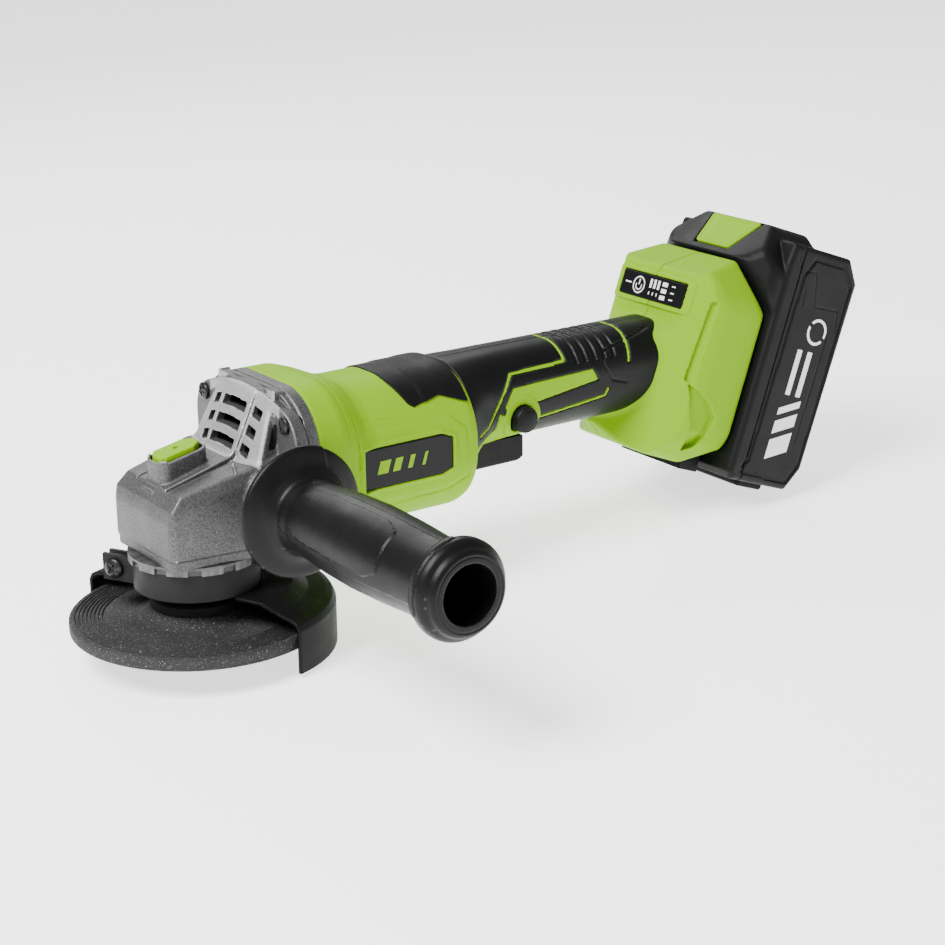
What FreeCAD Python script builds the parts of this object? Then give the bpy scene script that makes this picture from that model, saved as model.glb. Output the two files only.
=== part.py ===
import FreeCAD, Part
import math
import os
import re
import Sketcher

# Cordless angle grinder for 100 mm wheels, millimetres.
# Origin: on the spindle axis, in the plane of the wheel's grinding face. +X runs back along the
# motor to the battery, +Z up along the spindle, and the side handle is screwed in on the -Y side.

V = FreeCAD.Vector
doc = FreeCAD.newDocument("angle_grinder")

# ---------------------------------------------------------------- driving dimensions
SIZES = {
    # wheel and its clamping
    "wheel_radius": 50.0,
    "wheel_thickness": 5.5,
    "wheel_bore": 8.0,
    "hub_bottom": 4.6,
    "hub_top": 9.1,
    "hub_radius": 19.2,
    "flange_radius": 18.6,
    "thread_radius": 5.0,
    "shoulder_radius": 7.5,
    "shoulder_bottom": 15.5,
    # spindle bearing and bush
    "bearing_bottom": 20.0,
    "bearing_width": 8.0,
    "bearing_outer": 13.0,
    "race_inner": 7.3,
    "race_outer": 10.8,
    "bush_bottom": 55.0,
    "bush_length": 6.0,
    "bush_radius": 6.0,
    "journal_radius": 4.0,
    # bevel gears: the pitch cones meet at the crossing of the two axes
    "motor_axis": 57.5,
    "gear_module": 1.0,
    "gear_teeth": 34.0,
    "pinion_teeth": 11.0,
    "face_width": 5.5,
    "gear_bottom": 44.0,
    "web_top": 51.0,
    "lock_circle": 8.2,
    "lock_hole": 1.75,
    # guard and its clamp
    "band_inner": 22.8,
    "band_outer": 24.4,
    "band_bottom": 17.3,
    "band_top": 28.1,
    "guard_radius": 53.3,
    "guard_sheet": 1.5,
    "guard_rim_top": 11.2,
    "guard_skirt_bottom": -8.4,
    "guard_start": -73.0,
    "guard_sweep": 188.0,
    "lug_angle": 119.0,
    # gear case
    "retainer_radius": 26.0,
    "neck_radius": 22.6,
    "spigot_radius": 18.1,
    "case_bottom": 31.6,
    "case_front": -22.5,
    "nose_half_width": 19.8,
    "head_half_width": 26.0,
    "face_plane": 24.0,
    "flange_half_width": 38.0,
    "flange_half_height": 34.5,
    "flange_corner": 20.0,
    "case_end": 35.3,
    "socket_x": 17.3,
    "socket_z": 55.5,
    "socket_face": 33.0,
    "socket_radius": 4.0,
    "socket_depth": 14.0,
    "screw_y": 30.0,
    "screw_rise": 24.8,
    # spindle lock
    "boss_front": -16.4,
    "boss_length": 20.9,
    "boss_half_width": 7.0,
    "well_floor": 62.4,
    "lock_travel": 4.0,
    # motor
    "shaft_radius": 4.0,
    "motor_bearing_outer": 11.0,
    "motor_bearing_width": 7.0,
    "front_bearing_x": 22.0,
    "rear_bearing_x": 100.0,
    "stator_front": 60.0,
    "stator_length": 32.0,
    "stator_radius": 27.0,
    "stator_bore": 13.5,
    "rotor_radius": 13.2,
    "fan_radius": 24.0,
    # motor housing
    "ring_half_width": 36.5,
    "ring_half_height": 35.5,
    "ring_corner": 24.0,
    "ring_end": 46.0,
    "barrel_start": 64.0,
    "barrel_radius": 30.0,
    "barrel_half_width": 31.6,
    "barrel_end": 112.5,
    # handle
    "handle_axis": 68.0,
    "grip_half_width": 19.5,
    "grip_half_height": 19.0,
    "handle_end": 212.0,
    "skin": 1.8,
    "screw_seat_y": 13.4,
    "button_x": 142.5,
    "button_z": 60.4,
    "button_radius": 5.5,
    "trigger_front": 114.0,
    "trigger_rear": 150.0,
    "trigger_half_width": 9.7,
    "trigger_bottom": 38.6,
    "pivot_x": 117.0,
    "pivot_z": 50.5,
    "pin_radius": 1.5,
    # battery foot of the tool and battery, in a frame pitched back about Y
    "dock_x": 254.0,
    "dock_z": 60.0,
    "pitch": 20.0,
    "dock_half_width": 33.0,
    "tongue_half_width": 19.0,
    "rail_half_width": 21.6,
    "tongue_depth": 9.5,
    "pack_half_width": 37.5,
    "pack_top": 62.0,
    "pack_bottom": -43.2,
    "pack_rear": 44.7,
    "pack_split": 8.0,
    "cell_radius": 9.1,
    "cell_length": 65.0,
    "button_travel": 2.4,
    # side handle
    "side_flange_radius": 25.4,
    "side_flange_y": 50.4,
    "side_grip_radius": 16.6,
    "side_end_radius": 18.2,
    "side_end_y": 156.9,
    "side_hole_radius": 10.9,
}

sheet = doc.addObject("Spreadsheet::Sheet", "Sizes")
for row, (alias, value) in enumerate(SIZES.items(), 1):
    sheet.set(f"A{row}", alias)
    sheet.set(f"B{row}", str(value))
    sheet.setAlias(f"B{row}", alias)
doc.recompute()

WORD = re.compile(r"\b(" + "|".join(sorted(SIZES, key=len, reverse=True)) + r")\b")


def size(alias):
    """A driving dimension, read from the sheet."""
    return float(sheet.get(alias))


def formula(value):
    """Text that names dimensions becomes an expression on the sheet; a number stays a number."""
    return WORD.sub(r"Sizes.\1", str(value))


def bind(target, name, value):
    target.setExpression(name, formula(value))


# ---------------------------------------------------------------- placing and primitives
ALONG = {
    "+Z": FreeCAD.Rotation(),
    "+X": FreeCAD.Rotation(V(0, 1, 0), 90),
    "+Y": FreeCAD.Rotation(V(1, 0, 0), -90),
    "-Y": FreeCAD.Rotation(V(1, 0, 0), 90),
}


def place(item, at=(0, 0, 0), along="+Z", turned_by=0.0):
    """Stand an object's own Z along an axis of the row frame, its origin at bound coordinates."""
    spin = FreeCAD.Rotation(V(0, 0, 1), turned_by)
    start = V(*(evaluate(where) for where in at))
    item.Placement = FreeCAD.Placement(start, ALONG[along].multiply(spin))
    for axis, where in zip("xyz", at):
        bind(item, "Placement.Base." + axis, where)
    return item


def cylinder(name, radius, length, at=(0, 0, 0), along="+Z"):
    solid = doc.addObject("Part::Cylinder", name)
    bind(solid, "Radius", radius)
    bind(solid, "Height", length)
    return place(solid, at, along)


def box(name, low, high):
    """A box between two bound corners."""
    solid = doc.addObject("Part::Box", name)
    for prop, lo, hi in zip(("Length", "Width", "Height"), low, high):
        bind(solid, prop, f"({hi}) - ({lo})")
    return place(solid, low)


def ball(name, radius, at):
    solid = doc.addObject("Part::Sphere", name)
    bind(solid, "Radius", radius)
    return place(solid, at)


def cut(name, base, *tools):
    for number, tool in enumerate(tools, 1):
        step = doc.addObject("Part::Cut", name if number == len(tools) else f"{name}_cut{number}")
        step.Base = base
        step.Tool = tool
        base = step
    return base


def fuse(name, *items):
    joined = doc.addObject("Part::MultiFuse", name)
    joined.Shapes = list(items)
    return joined


def common(name, *items):
    shared = doc.addObject("Part::MultiCommon", name)
    shared.Shapes = list(items)
    return shared


def group(name, *items):
    """Identical separate solids that share one node."""
    together = doc.addObject("Part::Compound", name)
    together.Links = list(items)
    return together


def tube(name, inner, outer, length, at=(0, 0, 0), along="+Z"):
    outside = cylinder(name + "_outside", outer, length, at, along)
    inside = cylinder(name + "_inside", inner, length, at, along)
    return cut(name, outside, inside)


# ---------------------------------------------------------------- sketched features
def plane_of(body, role):
    return next(item for item in body.Origin.OriginFeatures if item.Role == role)


def new_sketch(body, name, role, offset=0):
    """A sketch on one of the body's own origin planes, moved along its normal by a bound offset."""
    sketch = body.newObject("Sketcher::SketchObject", name)
    sketch.AttachmentSupport = [(plane_of(body, role), "")]
    sketch.MapMode = "FlatFace"
    if offset != 0:
        bind(sketch, "AttachmentOffset.Base.z", offset)
    return sketch


def at_coordinate(sketch, kind, element, point, value):
    """Hold one coordinate of a point at a bound distance from the sketch's origin."""
    axis = -2 if kind == "DistanceX" else -1
    if value == 0:
        sketch.addConstraint(Sketcher.Constraint("PointOnObject", element, point, axis))
        return
    number = sketch.addConstraint(Sketcher.Constraint(kind, -1, 1, element, point, evaluate(value)))
    sketch.setExpression(f"Constraints[{number}]", formula(value))


def evaluate(value):
    """The present value of a bound expression, for a sketch's first guess."""
    if not isinstance(value, str):
        return float(value)
    numbers = {alias: size(alias) for alias in SIZES}
    total = 0.0
    for sign, term in re.findall(r"([+-]?)\s*([^+-]+)", str(value).replace(" ", "")):
        product = 1.0
        for factor in term.split("*"):
            product *= numbers[factor] if factor in numbers else float(factor)
        total += -product if sign == "-" else product
    return total


def negated(value):
    """A bound expression with the sign of every term turned round."""
    terms = re.findall(r"([+-]?)\s*([^+-]+)", str(value).strip())
    return " ".join(("+ " if sign == "-" else "- ") + term.strip() for sign, term in terms)


def outline(sketch, points):
    """A closed outline of straight edges through bound points."""
    corners = [V(evaluate(x), evaluate(y), 0) for x, y in points]
    count = len(corners)
    for i in range(count):
        sketch.addGeometry(Part.LineSegment(corners[i], corners[(i + 1) % count]))
    for i in range(count):
        sketch.addConstraint(Sketcher.Constraint("Coincident", i, 2, (i + 1) % count, 1))
    for i, (x, y) in enumerate(points):
        at_coordinate(sketch, "DistanceX", i, 1, x)
        at_coordinate(sketch, "DistanceY", i, 1, y)


def rounded_rectangle(sketch, centre, half, corner):
    """A rectangle with round corners: four lines and four arcs, all sizes bound."""
    cx, cy = evaluate(centre[0]), evaluate(centre[1])
    hx, hy, r = evaluate(half[0]), evaluate(half[1]), evaluate(corner)
    signs = [(1, 1), (-1, 1), (-1, -1), (1, -1)]
    for i, (sx, sy) in enumerate(signs):
        middle = V(cx + sx * (hx - r), cy + sy * (hy - r), 0)
        circle = Part.Circle(middle, V(0, 0, 1), r)
        sketch.addGeometry(Part.ArcOfCircle(circle, i * math.pi / 2, (i + 1) * math.pi / 2))
    ends = [(sketch.Geometry[i].EndPoint, sketch.Geometry[(i + 1) % 4].StartPoint) for i in range(4)]
    for start, end in ends:
        sketch.addGeometry(Part.LineSegment(start, end))
    for i in range(4):
        sketch.addConstraint(Sketcher.Constraint("Tangent", i, 2, 4 + i, 1))
        sketch.addConstraint(Sketcher.Constraint("Tangent", 4 + i, 2, (i + 1) % 4, 1))
    for i, (sx, sy) in enumerate(signs):
        for kind, c, h, s in (("DistanceX", centre[0], half[0], sx), ("DistanceY", centre[1], half[1], sy)):
            value = f"{c} + {h} {negated(corner)}" if s > 0 else f"{c} {negated(h)} + {corner}"
            number = sketch.addConstraint(Sketcher.Constraint(kind, -1, 1, i, 3, evaluate(value)))
            sketch.setExpression(f"Constraints[{number}]", formula(value))
        number = sketch.addConstraint(Sketcher.Constraint("Radius", i, r))
        sketch.setExpression(f"Constraints[{number}]", formula(corner))


def turned(name, profile, at=(0, 0, 0), along="+Z", sweep=None, start=0.0):
    """A turned piece: a profile of (radius, distance along the axis) points swept round its axis."""
    body = doc.addObject("PartDesign::Body", name)
    sketch = new_sketch(body, name + "_profile", "XZ_Plane")
    outline(sketch, profile)
    turn = body.newObject("PartDesign::Revolution", name + "_turn")
    turn.Profile = sketch
    turn.ReferenceAxis = (sketch, ["V_Axis"])
    turn.Angle = 360
    if sweep:
        bind(turn, "Angle", sweep)
    return place(body, at, along, start)


def slab(name, role, points, depth, offset=0, both_ways=False):
    """A straight-edged outline padded out of one of its body's planes."""
    body = doc.addObject("PartDesign::Body", name)
    sketch = new_sketch(body, name + "_outline", role, offset)
    outline(sketch, points)
    pad = body.newObject("PartDesign::Pad", name + "_pad")
    pad.Profile = sketch
    pad.Midplane = both_ways
    bind(pad, "Length", depth)
    return body


def mirrored_y(points):
    """An outline that is symmetric about y = 0, from the points of its +Y half."""
    other_half = [(x, f"0 - {y}") for x, y in reversed(points) if y != 0]
    return list(points) + other_half


def lofted(name, sections):
    """A skin through rounded rectangles that stand across X: (x, centre z, half y, half z, corner)."""
    body = doc.addObject("PartDesign::Body", name)
    sketches = []
    for number, (x, middle, half_y, half_z, corner) in enumerate(sections):
        sketch = new_sketch(body, f"{name}_section{number}", "YZ_Plane", x)
        rounded_rectangle(sketch, (0, middle), (half_y, half_z), corner)
        sketches.append(sketch)
    loft = body.newObject("PartDesign::AdditiveLoft", name + "_loft")
    loft.Profile = sketches[0]
    loft.Sections = sketches[1:]
    loft.Ruled = True
    return body


def softened(body, radius, chosen):
    """Round the chosen edges of a body's tip with a bound radius."""
    doc.recompute()
    tip = body.Tip
    edges = [f"Edge{i}" for i, edge in enumerate(tip.Shape.Edges, 1) if chosen(edge)]
    fillet = body.newObject("PartDesign::Fillet", body.Name + "_fillet")
    fillet.Base = (tip, edges)
    bind(fillet, "Radius", radius)
    return body


def runs_along(edge, direction):
    ends = [vertex.Point for vertex in edge.Vertexes]
    return len(ends) == 2 and (ends[1] - ends[0]).normalize().cross(direction).Length < 0.01


def coil(name, radius, wire, length, turns, at, along="+Z"):
    """A compression spring standing on a bound point, as a swept helix."""
    lift = ALONG[along].multVec(V(0, 0, wire))
    helix = doc.addObject("Part::Helix", name + "_helix")
    bind(helix, "Radius", radius)
    bind(helix, "Height", f"({length}) - 2 * ({wire})")
    bind(helix, "Pitch", f"(({length}) - 2 * ({wire})) / {turns}")
    ring = doc.addObject("Part::Circle", name + "_wire")
    bind(ring, "Radius", wire)
    ring.Placement.Rotation = FreeCAD.Rotation(V(1, 0, 0), 90)
    bind(ring, "Placement.Base.x", radius)
    spring = doc.addObject("Part::Sweep", name)
    spring.Sections = [ring]
    spring.Spine = (helix, ["Edge1"])
    spring.Solid = True
    spring.Frenet = True
    spring.Placement = FreeCAD.Placement(V(), ALONG[along])
    for axis, where, more in zip("xyz", at, lift):
        bind(spring, "Placement.Base." + axis, f"{where} + {more:.3f}")
    return spring


def pitched(item):
    """Lay a piece drawn in the battery's own frame into the row frame."""
    for axis in "xyz":
        item.setExpression("Placement.Base." + axis, None)
    lean = FreeCAD.Rotation(V(0, 1, 0), size("pitch"))
    item.Placement = FreeCAD.Placement(V(), lean).multiply(item.Placement)
    shift = item.Placement.Base
    bind(item, "Placement.Base.x", f"dock_x + {shift.x:.6f}")
    bind(item, "Placement.Base.z", f"dock_z + {shift.z:.6f}")
    return item


NODES = {}


def node(label, item):
    """A finished sub-part: its label names its file."""
    item.Label = label
    NODES[label] = item
    return item


def screw(name, at, along, head, head_height, shank, length):
    """A pan-head screw with a cross recess; its head's seat is at the given point."""
    blank = turned(name, [
        (0, f"0 - {length}"), (shank, f"0 - {length}"), (shank, 0), (head, 0),
        (head, f"0.55 * {head_height}"), (f"0.72 * {head}", head_height), (0, head_height),
    ], at, along)
    return blank


# ---------------------------------------------------------------- wheel, flanges and spindle
def spindle_pieces():
    node("grinding_wheel", turned("wheel", [
        ("wheel_bore", "hub_bottom"), ("hub_radius - 1.7", "hub_bottom"), ("hub_radius + 2.6", 0),
        ("wheel_radius - 0.6", 0), ("wheel_radius", 0.6), ("wheel_radius", "wheel_thickness - 0.5"),
        ("wheel_radius - 0.5", "wheel_thickness"), ("hub_radius + 4.6", "wheel_thickness"),
        ("hub_radius", "hub_top - 0.6"), ("hub_radius - 0.6", "hub_top"), ("wheel_bore", "hub_top"),
    ]))
    node("inner_flange", turned("seat_flange", [
        ("thread_radius", "hub_top - 2.4"), ("wheel_bore - 0.05", "hub_top - 2.4"),
        ("wheel_bore - 0.05", "hub_top"), ("flange_radius", "hub_top"),
        ("flange_radius", "hub_top + 3.4"), ("flange_radius - 1", "hub_top + 4.4"),
        (10.5, "hub_top + 4.4"), (10.5, "shoulder_bottom"), ("thread_radius", "shoulder_bottom"),
    ]))
    nut = turned("clamp_nut", [
        ("thread_radius", 0.5), (15, 0.5), (16.3, 1.6), (16.3, "hub_bottom"),
        ("wheel_bore - 0.1", "hub_bottom"), ("wheel_bore - 0.1", "hub_bottom + 1.9"),
        ("thread_radius", "hub_bottom + 1.9"),
    ])
    holes = []
    for number, turn in enumerate((45, 135, 225, 315)):
        x = 11.5 * math.cos(math.radians(turn))
        y = 11.5 * math.sin(math.radians(turn))
        holes.append(cylinder(f"key_hole{number}", 2, 3, (x, y, 0)))
    node("outer_flange_nut", cut("outer_flange", nut, *holes))
    node("spindle", turned("spindle_shaft", [
        (0, 0.7), ("thread_radius", 0.7), ("thread_radius", "shoulder_bottom"),
        ("shoulder_radius", "shoulder_bottom"), ("shoulder_radius", "bearing_bottom"),
        ("thread_radius", "bearing_bottom"), ("thread_radius", "bush_bottom - 0.8"),
        ("journal_radius", "bush_bottom - 0.8"), ("journal_radius", "bush_bottom + bush_length"),
        (0, "bush_bottom + bush_length"),
    ]))
    top_of_bearing = "bearing_bottom + bearing_width"
    node("gear_spacer", tube("spacer", "thread_radius", "race_inner",
                             "gear_bottom - bearing_bottom - bearing_width", (0, 0, top_of_bearing)))
    node("spindle_bearing_inner", tube("low_inner", "thread_radius", "race_inner", "bearing_width",
                                       (0, 0, "bearing_bottom")))
    balls = []
    for number in range(8):
        turn = 2 * math.pi * number / 8
        at = (9.05 * math.cos(turn), 9.05 * math.sin(turn), "bearing_bottom + 0.5 * bearing_width")
        balls.append(ball(f"low_ball{number}", 1.7, at))
    node("spindle_bearing_balls", group("low_balls", *balls))
    node("spindle_bearing_outer", tube("low_outer", "race_outer", "bearing_outer", "bearing_width",
                                       (0, 0, "bearing_bottom")))
    node("bearing_circlip", tube("circlip", 11.4, "bearing_outer", 1.3, (0, 0, top_of_bearing)))
    node("spindle_bush", tube("bush", "journal_radius + 0.04", "bush_radius", "bush_length",
                              (0, 0, "bush_bottom")))


# ---------------------------------------------------------------- bevel gears
def involute(base, radius):
    """Polar angle of an involute of a base circle at a radius."""
    reach = math.sqrt(max(radius * radius / (base * base) - 1, 0))
    return reach - math.atan(reach)


def bevel_tooth(teeth, pitch_radius, cone, rise, drop, thickness, near, far):
    """One straight bevel tooth. It is drawn on the back cone and shrinks towards the apex, which is
    the origin; the gear's axis is +Z with the teeth towards +Z, and the pitch cone opens downwards."""
    virtual = pitch_radius / math.cos(cone)
    base = virtual * math.cos(math.radians(20))
    half = thickness / (2 * virtual) + involute(base, virtual)
    slant = pitch_radius / math.sin(cone)
    outward = V(math.cos(cone), 0, math.sin(cone))
    centre_line = V(math.sin(cone), 0, -math.cos(cone)) * slant
    sides = []
    for radius in (virtual - drop, virtual - 0.45 * drop, virtual, virtual + 0.5 * rise, virtual + rise):
        turn = half - involute(base, max(radius, base))
        sides.append((radius, turn))
    rim = [(radius, -turn) for radius, turn in sides] + [(radius, turn) for radius, turn in reversed(sides)]

    def section(share):
        points = []
        for radius, turn in rim:
            along = radius * math.cos(turn) - virtual
            across = radius * math.sin(turn)
            point = centre_line + outward * along + V(0, 1, 0) * across
            points.append(point * share)
        return Part.makePolygon(points + points[:1])

    return Part.makeLoft([section(far / slant), section(near / slant)], True, True)


def gear_blank(profile):
    """A turned blank about Z from (radius, height) points."""
    points = [V(radius, 0, height) for radius, height in profile]
    face = Part.Face(Part.makePolygon(points + points[:1]))
    return face.revolve(V(0, 0, 0), V(0, 0, 1), 360)


def bevel_pieces():
    module = size("gear_module")
    gear_count, pinion_count = int(size("gear_teeth")), int(size("pinion_teeth"))
    gear_pitch, pinion_pitch = module * gear_count / 2, module * pinion_count / 2
    cone = math.atan2(gear_pitch, pinion_pitch)
    pinion_cone = math.pi / 2 - cone
    slant = math.hypot(gear_pitch, pinion_pitch)
    near = slant - size("face_width")
    thickness = 0.43 * math.pi * module
    rise, drop = 0.72 * module, 1.25 * module
    pinion_rise, pinion_drop = 1.0 * module, 0.95 * module
    apex = size("motor_axis")

    def root(pitch_radius, height, angle, depth, share):
        """A point of the root cone at a share of the slant length, from the apex."""
        return ((pitch_radius - depth * math.cos(angle)) * share, (height - depth * math.sin(angle)) * share)

    # driven gear: teeth on the upper side, apex above it
    deep = 0.96 * drop
    far_root = root(gear_pitch, -pinion_pitch, cone, deep, 1.0)
    near_root = root(gear_pitch, -pinion_pitch, cone, deep, near / slant)
    floor, web = size("gear_bottom") - apex, size("web_top") - apex
    blank = gear_blank([
        (size("thread_radius"), floor), (far_root[0], floor), far_root, near_root,
        (near_root[0] - 0.4, web), (size("thread_radius"), web),
    ])
    tooth = bevel_tooth(gear_count, gear_pitch, cone, rise, drop, thickness, near, slant)
    teeth = []
    for number in range(gear_count):
        copy = tooth.copy()
        copy.rotate(V(), V(0, 0, 1), 360 * (number + 0.5) / gear_count)
        teeth.append(copy)
    gear = blank.fuse(teeth).removeSplitter()
    holes = []
    for number in range(4):
        turn = math.pi / 2 * number
        spot = V(size("lock_circle") * math.cos(turn), size("lock_circle") * math.sin(turn), floor)
        holes.append(Part.makeCylinder(size("lock_hole"), web - floor, spot))
    gear = gear.cut(holes)
    driven = doc.addObject("Part::Feature", "bevel_gear")
    driven.Shape = gear
    driven.Placement = FreeCAD.Placement(V(0, 0, apex), FreeCAD.Rotation())
    node("driven_gear", driven)

    # pinion: drawn about Z like the gear, then laid along +X with its apex at the crossing
    deep = 0.96 * pinion_drop
    far_root = root(pinion_pitch, -gear_pitch, pinion_cone, deep, 1.0)
    near_root = root(pinion_pitch, -gear_pitch, pinion_cone, deep, near / slant)
    back = -size("front_bearing_x")
    seat = 2.5
    blank = gear_blank([
        (0, near_root[1]), near_root, far_root, (5.2, far_root[1]), (5.2, back), (seat, back),
        (seat, back + 4.5), (0, back + 4.5),
    ])
    tooth = bevel_tooth(pinion_count, pinion_pitch, pinion_cone, pinion_rise, pinion_drop, thickness,
                        near, slant)
    teeth = []
    for number in range(pinion_count):
        copy = tooth.copy()
        copy.rotate(V(), V(0, 0, 1), 360 * (number + 0.5) / pinion_count)
        teeth.append(copy)
    small = blank.fuse(teeth).removeSplitter()
    driver = doc.addObject("Part::Feature", "bevel_pinion")
    driver.Shape = small
    driver.Placement = FreeCAD.Placement(V(0, 0, apex), FreeCAD.Rotation(V(0, 1, 0), -90))
    node("pinion", driver)


# ---------------------------------------------------------------- guard
def guard_pieces():
    sheet_top = "band_bottom"
    node("guard", turned("guard_sheet_metal", [
        ("band_inner + 0.1", sheet_top), (37, sheet_top), (43, "guard_rim_top + 0.4"),
        (50.4, "guard_rim_top"), ("guard_radius", "guard_rim_top - 2.8"),
        ("guard_radius", "guard_skirt_bottom"), ("guard_radius - guard_sheet", "guard_skirt_bottom"),
        ("guard_radius - guard_sheet", "guard_rim_top - 3.4"), (49.8, "guard_rim_top - guard_sheet"),
        (42.4, "guard_rim_top - guard_sheet + 0.4"), (36.4, "band_bottom - guard_sheet"),
        ("band_inner + 0.1", "band_bottom - guard_sheet"),
    ], sweep="guard_sweep", start=size("guard_start")))

    height = "band_top - band_bottom"
    angle = size("lug_angle")
    away = FreeCAD.Rotation(V(0, 0, 1), angle)
    root_point = V(-19.9, 11.9, 0)

    def plate(name, low, high):
        """A box in the lug's own frame: X away from the band, Y out of the visible lug's face."""
        solid = doc.addObject("Part::Box", name)
        for prop, a, b in zip(("Length", "Width", "Height"), low, high):
            bind(solid, prop, f"({b}) - ({a})")
        base = root_point + away.multVec(V(low[0], low[1], 0))
        solid.Placement = FreeCAD.Placement(base, away)
        bind(solid, "Placement.Base.z", low[2])
        return solid

    middle = 8.6
    ring = tube("band_ring", "band_inner", "band_outer", height, (0, 0, "band_bottom"))
    front_lug = plate("front_lug", (0, 0, "band_bottom + 0.2"), (14, 1.6, "band_top - 0.1"))
    rear_lug = plate("rear_lug", (4.2, -4.6, "band_bottom + 0.2"), (14, -3, "band_top - 0.1"))
    slit = plate("slit", (-6, -3, "band_bottom - 1"), (20, 0, "band_top + 1"))
    core = cylinder("band_core", "band_inner", height, (0, 0, "band_bottom"))
    hole_at = root_point + away.multVec(V(middle, 3, 0))
    hole = cylinder("lug_hole", 2.1, 12, (hole_at.x, hole_at.y, "0.5 * band_bottom + 0.5 * band_top"))
    hole.Placement.Rotation = away.multiply(FreeCAD.Rotation(V(1, 0, 0), 90))
    band = fuse("band_blank", ring, front_lug, rear_lug)
    node("guard_clamp_band", cut("band", band, slit, core, hole))

    def along_screw(item, across):
        spot = root_point + away.multVec(V(middle, across, 0))
        item.Placement.Rotation = away.multiply(FreeCAD.Rotation(V(1, 0, 0), -90))
        item.setExpression("Placement.Base.x", None)
        item.setExpression("Placement.Base.y", None)
        item.Placement.Base = V(spot.x, spot.y, item.Placement.Base.z)
        bind(item, "Placement.Base.z", "0.5 * band_bottom + 0.5 * band_top")
        return item

    node("guard_clamp_screw", along_screw(screw("clamp_screw", (0, 0, 0), "+Z", 4.0, 2.6, 2.0, 9.5), 1.6))
    nut = turned("clamp_screw_nut", [(2.05, 0), (3.9, 0), (3.9, 3), (2.05, 3)])
    node("guard_clamp_nut", along_screw(nut, -7.6))


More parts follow.
